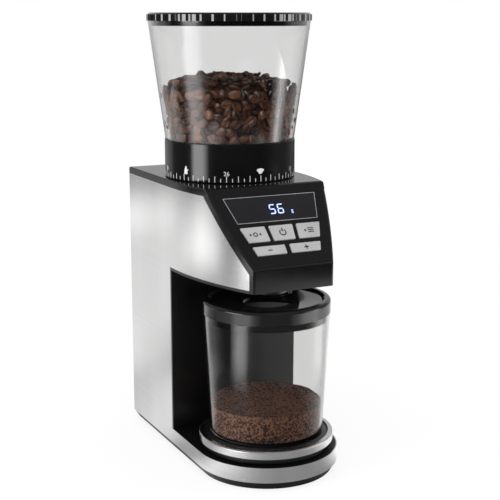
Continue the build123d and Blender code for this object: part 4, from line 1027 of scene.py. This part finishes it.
def grounds():
    clear_selection()
    bpy.ops.mesh.primitive_cylinder_add(vertices=GROUNDS_SIDES, radius=1.0, depth=1.0)
    piece = named("ground_coffee")
    low = jar_low.z + JAR_FLOOR
    high = jar_low.z + GROUNDS_LEVEL
    bpy.ops.object.mode_set(mode="EDIT")
    bpy.ops.mesh.select_all(action="DESELECT")
    bpy.ops.object.mode_set(mode="OBJECT")
    for face in piece.data.polygons:
        face.select = face.normal.z > 0.9
    bpy.ops.object.mode_set(mode="EDIT")
    for ring in range(GROUNDS_RINGS):
        bpy.ops.mesh.inset(thickness=GROUNDS_RING_STEP)
    bpy.ops.object.mode_set(mode="OBJECT")
    # marks the top face for its painted light
    painted_top_light = piece.data.attributes.new("painted_top_light", "FLOAT", "POINT")
    for vertex in piece.data.vertices:
        top = vertex.co.z > 0
        painted_top_light.data[vertex.index].value = 1.0 if top else 0.0
        z = high if top else low
        flat = Vector((vertex.co.x, vertex.co.y))
        inner = jar_inner_r(z) - GROUNDS_GAP
        point = Vector((jar_axis.x + flat.x * inner, jar_axis.y + flat.y * inner, z))
        if top:
            swell_at = Vector((flat.x * SWELL_WAVES, flat.y * SWELL_WAVES, SWELL_SLICE))
            swell = noise.noise(swell_at) * GROUNDS_SWELL
            grit_at = Vector((flat.x * GRIT_WAVES, flat.y * GRIT_WAVES, GRIT_SLICE))
            grit = noise.noise(grit_at) * GROUNDS_GRIT
            point.z += (swell + grit) * MM
        vertex.co = point
    clear_selection()
    piece.select_set(True)
    bpy.context.view_layer.objects.active = piece
    bpy.ops.object.shade_smooth_by_angle(angle=math.radians(GROUNDS_EDGE))
    return piece


dress(grounds(), grounds_skin, "jar")


# Studio
def compass_light(tree, parts, table):
    """Brightness by compass angle, as a share of the peak."""
    angle = work_out(tree, "ARCTAN2", parts["Y"], parts["X"])
    turn = work_out(tree, "FRACT", work_out(tree, "DIVIDE", angle, 2 * math.pi), 0)
    return ramp(tree, turn, [(a / 360, (b / REFLECT_PEAK,) * 3) for a, b in table])


def blend_colours(tree, share, first, second):
    """Two colours, each a socket or a grey number, mixed by a share."""
    node = tree.nodes.new("ShaderNodeMix")
    node.data_type = "RGBA"
    tree.links.new(share, node.inputs["Factor"])
    for name, value in (("A", first), ("B", second)):
        socket = next(item for item in node.inputs if item.name == name and item.type == "RGBA")
        if isinstance(value, float):
            socket.default_value = (value, value, value, 1)
        else:
            tree.links.new(value, socket)
    return next(item for item in node.outputs if item.type == "RGBA")


def ray_shares(tree):
    """Shares of rays that see plain white, the mirrored studio, and light inside clear walls."""
    rays = tree.nodes.new("ShaderNodeLightPath").outputs
    bounced = work_out(tree, "ADD", rays["Glossy Depth"], rays["Diffuse Depth"])
    straight = work_out(tree, "LESS_THAN", bounced, 0.5)
    through = work_out(tree, "MULTIPLY", rays["Is Transmission Ray"], straight)
    white = work_out(tree, "MAXIMUM", rays["Is Camera Ray"], through)
    polished = work_out(tree, "GREATER_THAN", rays["Glossy Depth"], 0.5)
    not_matt = work_out(tree, "LESS_THAN", rays["Diffuse Depth"], 0.5)
    mirrored_inside = work_out(tree, "MULTIPLY", polished, not_matt)
    inner = work_out(tree, "MULTIPLY", mirrored_inside, rays["Is Transmission Ray"])
    return white, rays["Is Glossy Ray"], inner


def layered(tree, base, layers):
    """Shaders laid over a base, each by its share of rays."""
    for share, shader in layers:
        mix = tree.nodes.new("ShaderNodeMixShader")
        tree.links.new(share, mix.inputs["Fac"])
        tree.links.new(base, mix.inputs[1])
        tree.links.new(shader, mix.inputs[2])
        base = mix.outputs["Shader"]
    return base


def glint_spot(tree, direction):
    """A soft round spot in the lamp's direction."""
    turn, rise = math.radians(GLINT_TURN), math.radians(GLINT_RISE)
    towards = tree.nodes.new("ShaderNodeVectorMath")
    towards.operation = "DOT_PRODUCT"
    tree.links.new(direction, towards.inputs[0])
    towards.inputs[1].default_value = (
        math.cos(rise) * math.cos(turn), math.cos(rise) * math.sin(turn), math.sin(rise)
    )
    return spread(tree, towards.outputs["Value"], 0, 1, GLINT_FROM, GLINT_TO)


def studio_world():
    world = bpy.data.worlds.new("studio")
    bpy.context.scene.world = world
    world.use_nodes = True
    tree = world.node_tree
    tree.nodes.clear()
    parts = tree.nodes.new("ShaderNodeSeparateXYZ")
    place = tree.nodes.new("ShaderNodeTexCoord")
    tree.links.new(place.outputs["Generated"], parts.inputs["Vector"])
    ceiling = spread(tree, parts.outputs["Z"], 0, 1, CEILING_FROM, CEILING_TO)
    walls = blend_colours(
        tree,
        spread(tree, parts.outputs["Z"], 0, 1, HIGH_FROM, HIGH_TO),
        compass_light(tree, parts.outputs, FAR_LIGHT),
        compass_light(tree, parts.outputs, HIGH_LIGHT),
    )
    sky = spread(tree, parts.outputs["Z"], 0, 1, SKY_FROM, SKY_TO)
    walls = blend_colours(tree, sky, walls, compass_light(tree, parts.outputs, SKY_LIGHT))
    glint = glint_spot(tree, place.outputs["Generated"])
    sparkle = tree.nodes.new("ShaderNodeBackground")
    sparkle.inputs["Strength"].default_value = REFLECT_PEAK
    behind = compass_light(tree, parts.outputs, BACK_LIGHT)
    inside = work_out(tree, "MULTIPLY_ADD", glint, GLINT_LIGHT / REFLECT_PEAK, behind)
    tree.links.new(inside, sparkle.inputs["Color"])
    fill = tree.nodes.new("ShaderNodeBackground")
    open_fill = spread(tree, parts.outputs["Z"], SIDE_FILL, TOP_FILL, 0, 1)
    tree.links.new(open_fill, fill.inputs["Color"])
    gloss = tree.nodes.new("ShaderNodeBackground")
    gloss.inputs["Strength"].default_value = REFLECT_PEAK
    seen = blend_colours(tree, ceiling, walls, CEILING_LIGHT / REFLECT_PEAK)
    tree.links.new(seen, gloss.inputs["Color"])
    plain = tree.nodes.new("ShaderNodeBackground")
    plain.inputs["Color"].default_value = (1, 1, 1, 1)
    white, mirrored, inner = ray_shares(tree)
    surface = layered(tree, fill.outputs["Background"], (
        (mirrored, gloss.outputs["Background"]),
        (inner, sparkle.outputs["Background"]),
        (white, plain.outputs["Background"]),
    ))
    out = tree.nodes.new("ShaderNodeOutputWorld")
    tree.links.new(surface, out.inputs["Surface"])


def studio_floor():
    clear_selection()
    bpy.ops.mesh.primitive_circle_add(vertices=FLOOR_SIDES, radius=FLOOR_R, fill_type="NGON")
    piece = named("floor")
    made = bpy.data.materials.new("pale_floor")
    made.use_nodes = True
    tree = made.node_tree
    tree.nodes.clear()
    parts = tree.nodes.new("ShaderNodeSeparateXYZ")
    place = tree.nodes.new("ShaderNodeTexCoord")
    tree.links.new(place.outputs["Object"], parts.inputs["Vector"])
    reach = tree.nodes.new("ShaderNodeVectorMath")
    reach.operation = "LENGTH"
    tree.links.new(place.outputs["Object"], reach.inputs[0])
    distance = reach.outputs["Value"]
    matt = tree.nodes.new("ShaderNodeBsdfDiffuse")
    matt.inputs["Color"].default_value = FLOOR_GREY
    gloss = tree.nodes.new("ShaderNodeEmission")
    gloss.inputs["Strength"].default_value = REFLECT_PEAK
    seen = compass_light(tree, parts.outputs, NEAR_LIGHT)
    for (start, end), table in (
        (MID_REACH, MID_LIGHT),
        (WIDE_REACH, WIDE_LIGHT),
        (OUTER_REACH, OUTER_LIGHT),
        (EDGE_REACH, EDGE_LIGHT),
    ):
        further = spread(tree, distance, 0, 1, start, end)
        seen = blend_colours(tree, further, seen, compass_light(tree, parts.outputs, table))
    tree.links.new(seen, gloss.inputs["Color"])
    plain = tree.nodes.new("ShaderNodeEmission")
    plain.inputs["Color"].default_value = (1, 1, 1, 1)
    behind = tree.nodes.new("ShaderNodeEmission")
    behind.inputs["Strength"].default_value = REFLECT_PEAK
    tree.links.new(compass_light(tree, parts.outputs, BACK_LIGHT), behind.inputs["Color"])
    white, mirrored, inner = ray_shares(tree)
    whiteness = spread(tree, distance, FLOOR_WHITE, 1, WHITE_FROM, WHITE_TO)
    pale = work_out(tree, "MULTIPLY", white, whiteness)
    surface = layered(tree, matt.outputs["BSDF"], (
        (mirrored, gloss.outputs["Emission"]),
        (inner, behind.outputs["Emission"]),
        (pale, plain.outputs["Emission"]),
    ))
    out = tree.nodes.new("ShaderNodeOutputMaterial")
    tree.links.new(surface, out.inputs["Surface"])
    piece.data.materials.append(made)


def softbox(name, compass, distance, height, wide, tall, power):
    """An area lamp that faces the machine. Its mirror image comes from the studio instead."""
    data = bpy.data.lights.new(name, "AREA")
    data.shape = "RECTANGLE"
    data.size = wide
    data.size_y = tall
    data.energy = power
    lamp = bpy.data.objects.new(name, data)
    bpy.context.scene.collection.objects.link(lamp)
    a = math.radians(compass)
    place = Vector((distance * math.cos(a), distance * math.sin(a), height))
    aim = Vector(SOFTBOX_AIM) - place
    lamp.location = place
    lamp.rotation_euler = aim.to_track_quat("-Z", "Y").to_euler()
    lamp.visible_glossy = False
    lamp.visible_transmission = False


def camera():
    data = bpy.data.cameras.new("camera")
    data.lens = CAMERA_LENS
    data.sensor_width = SENSOR
    view = bpy.data.objects.new("camera", data)
    bpy.context.scene.collection.objects.link(view)
    view.location = CAMERA_PLACE
    view.rotation_euler = (math.radians(90 - CAMERA_DOWN), 0, math.radians(-CAMERA_TURN))
    bpy.context.scene.camera = view


studio_world()
studio_floor()
for softbox_values in SOFTBOXES:
    softbox(*softbox_values)
camera()
bpy.context.scene.view_settings.view_transform = "Standard"
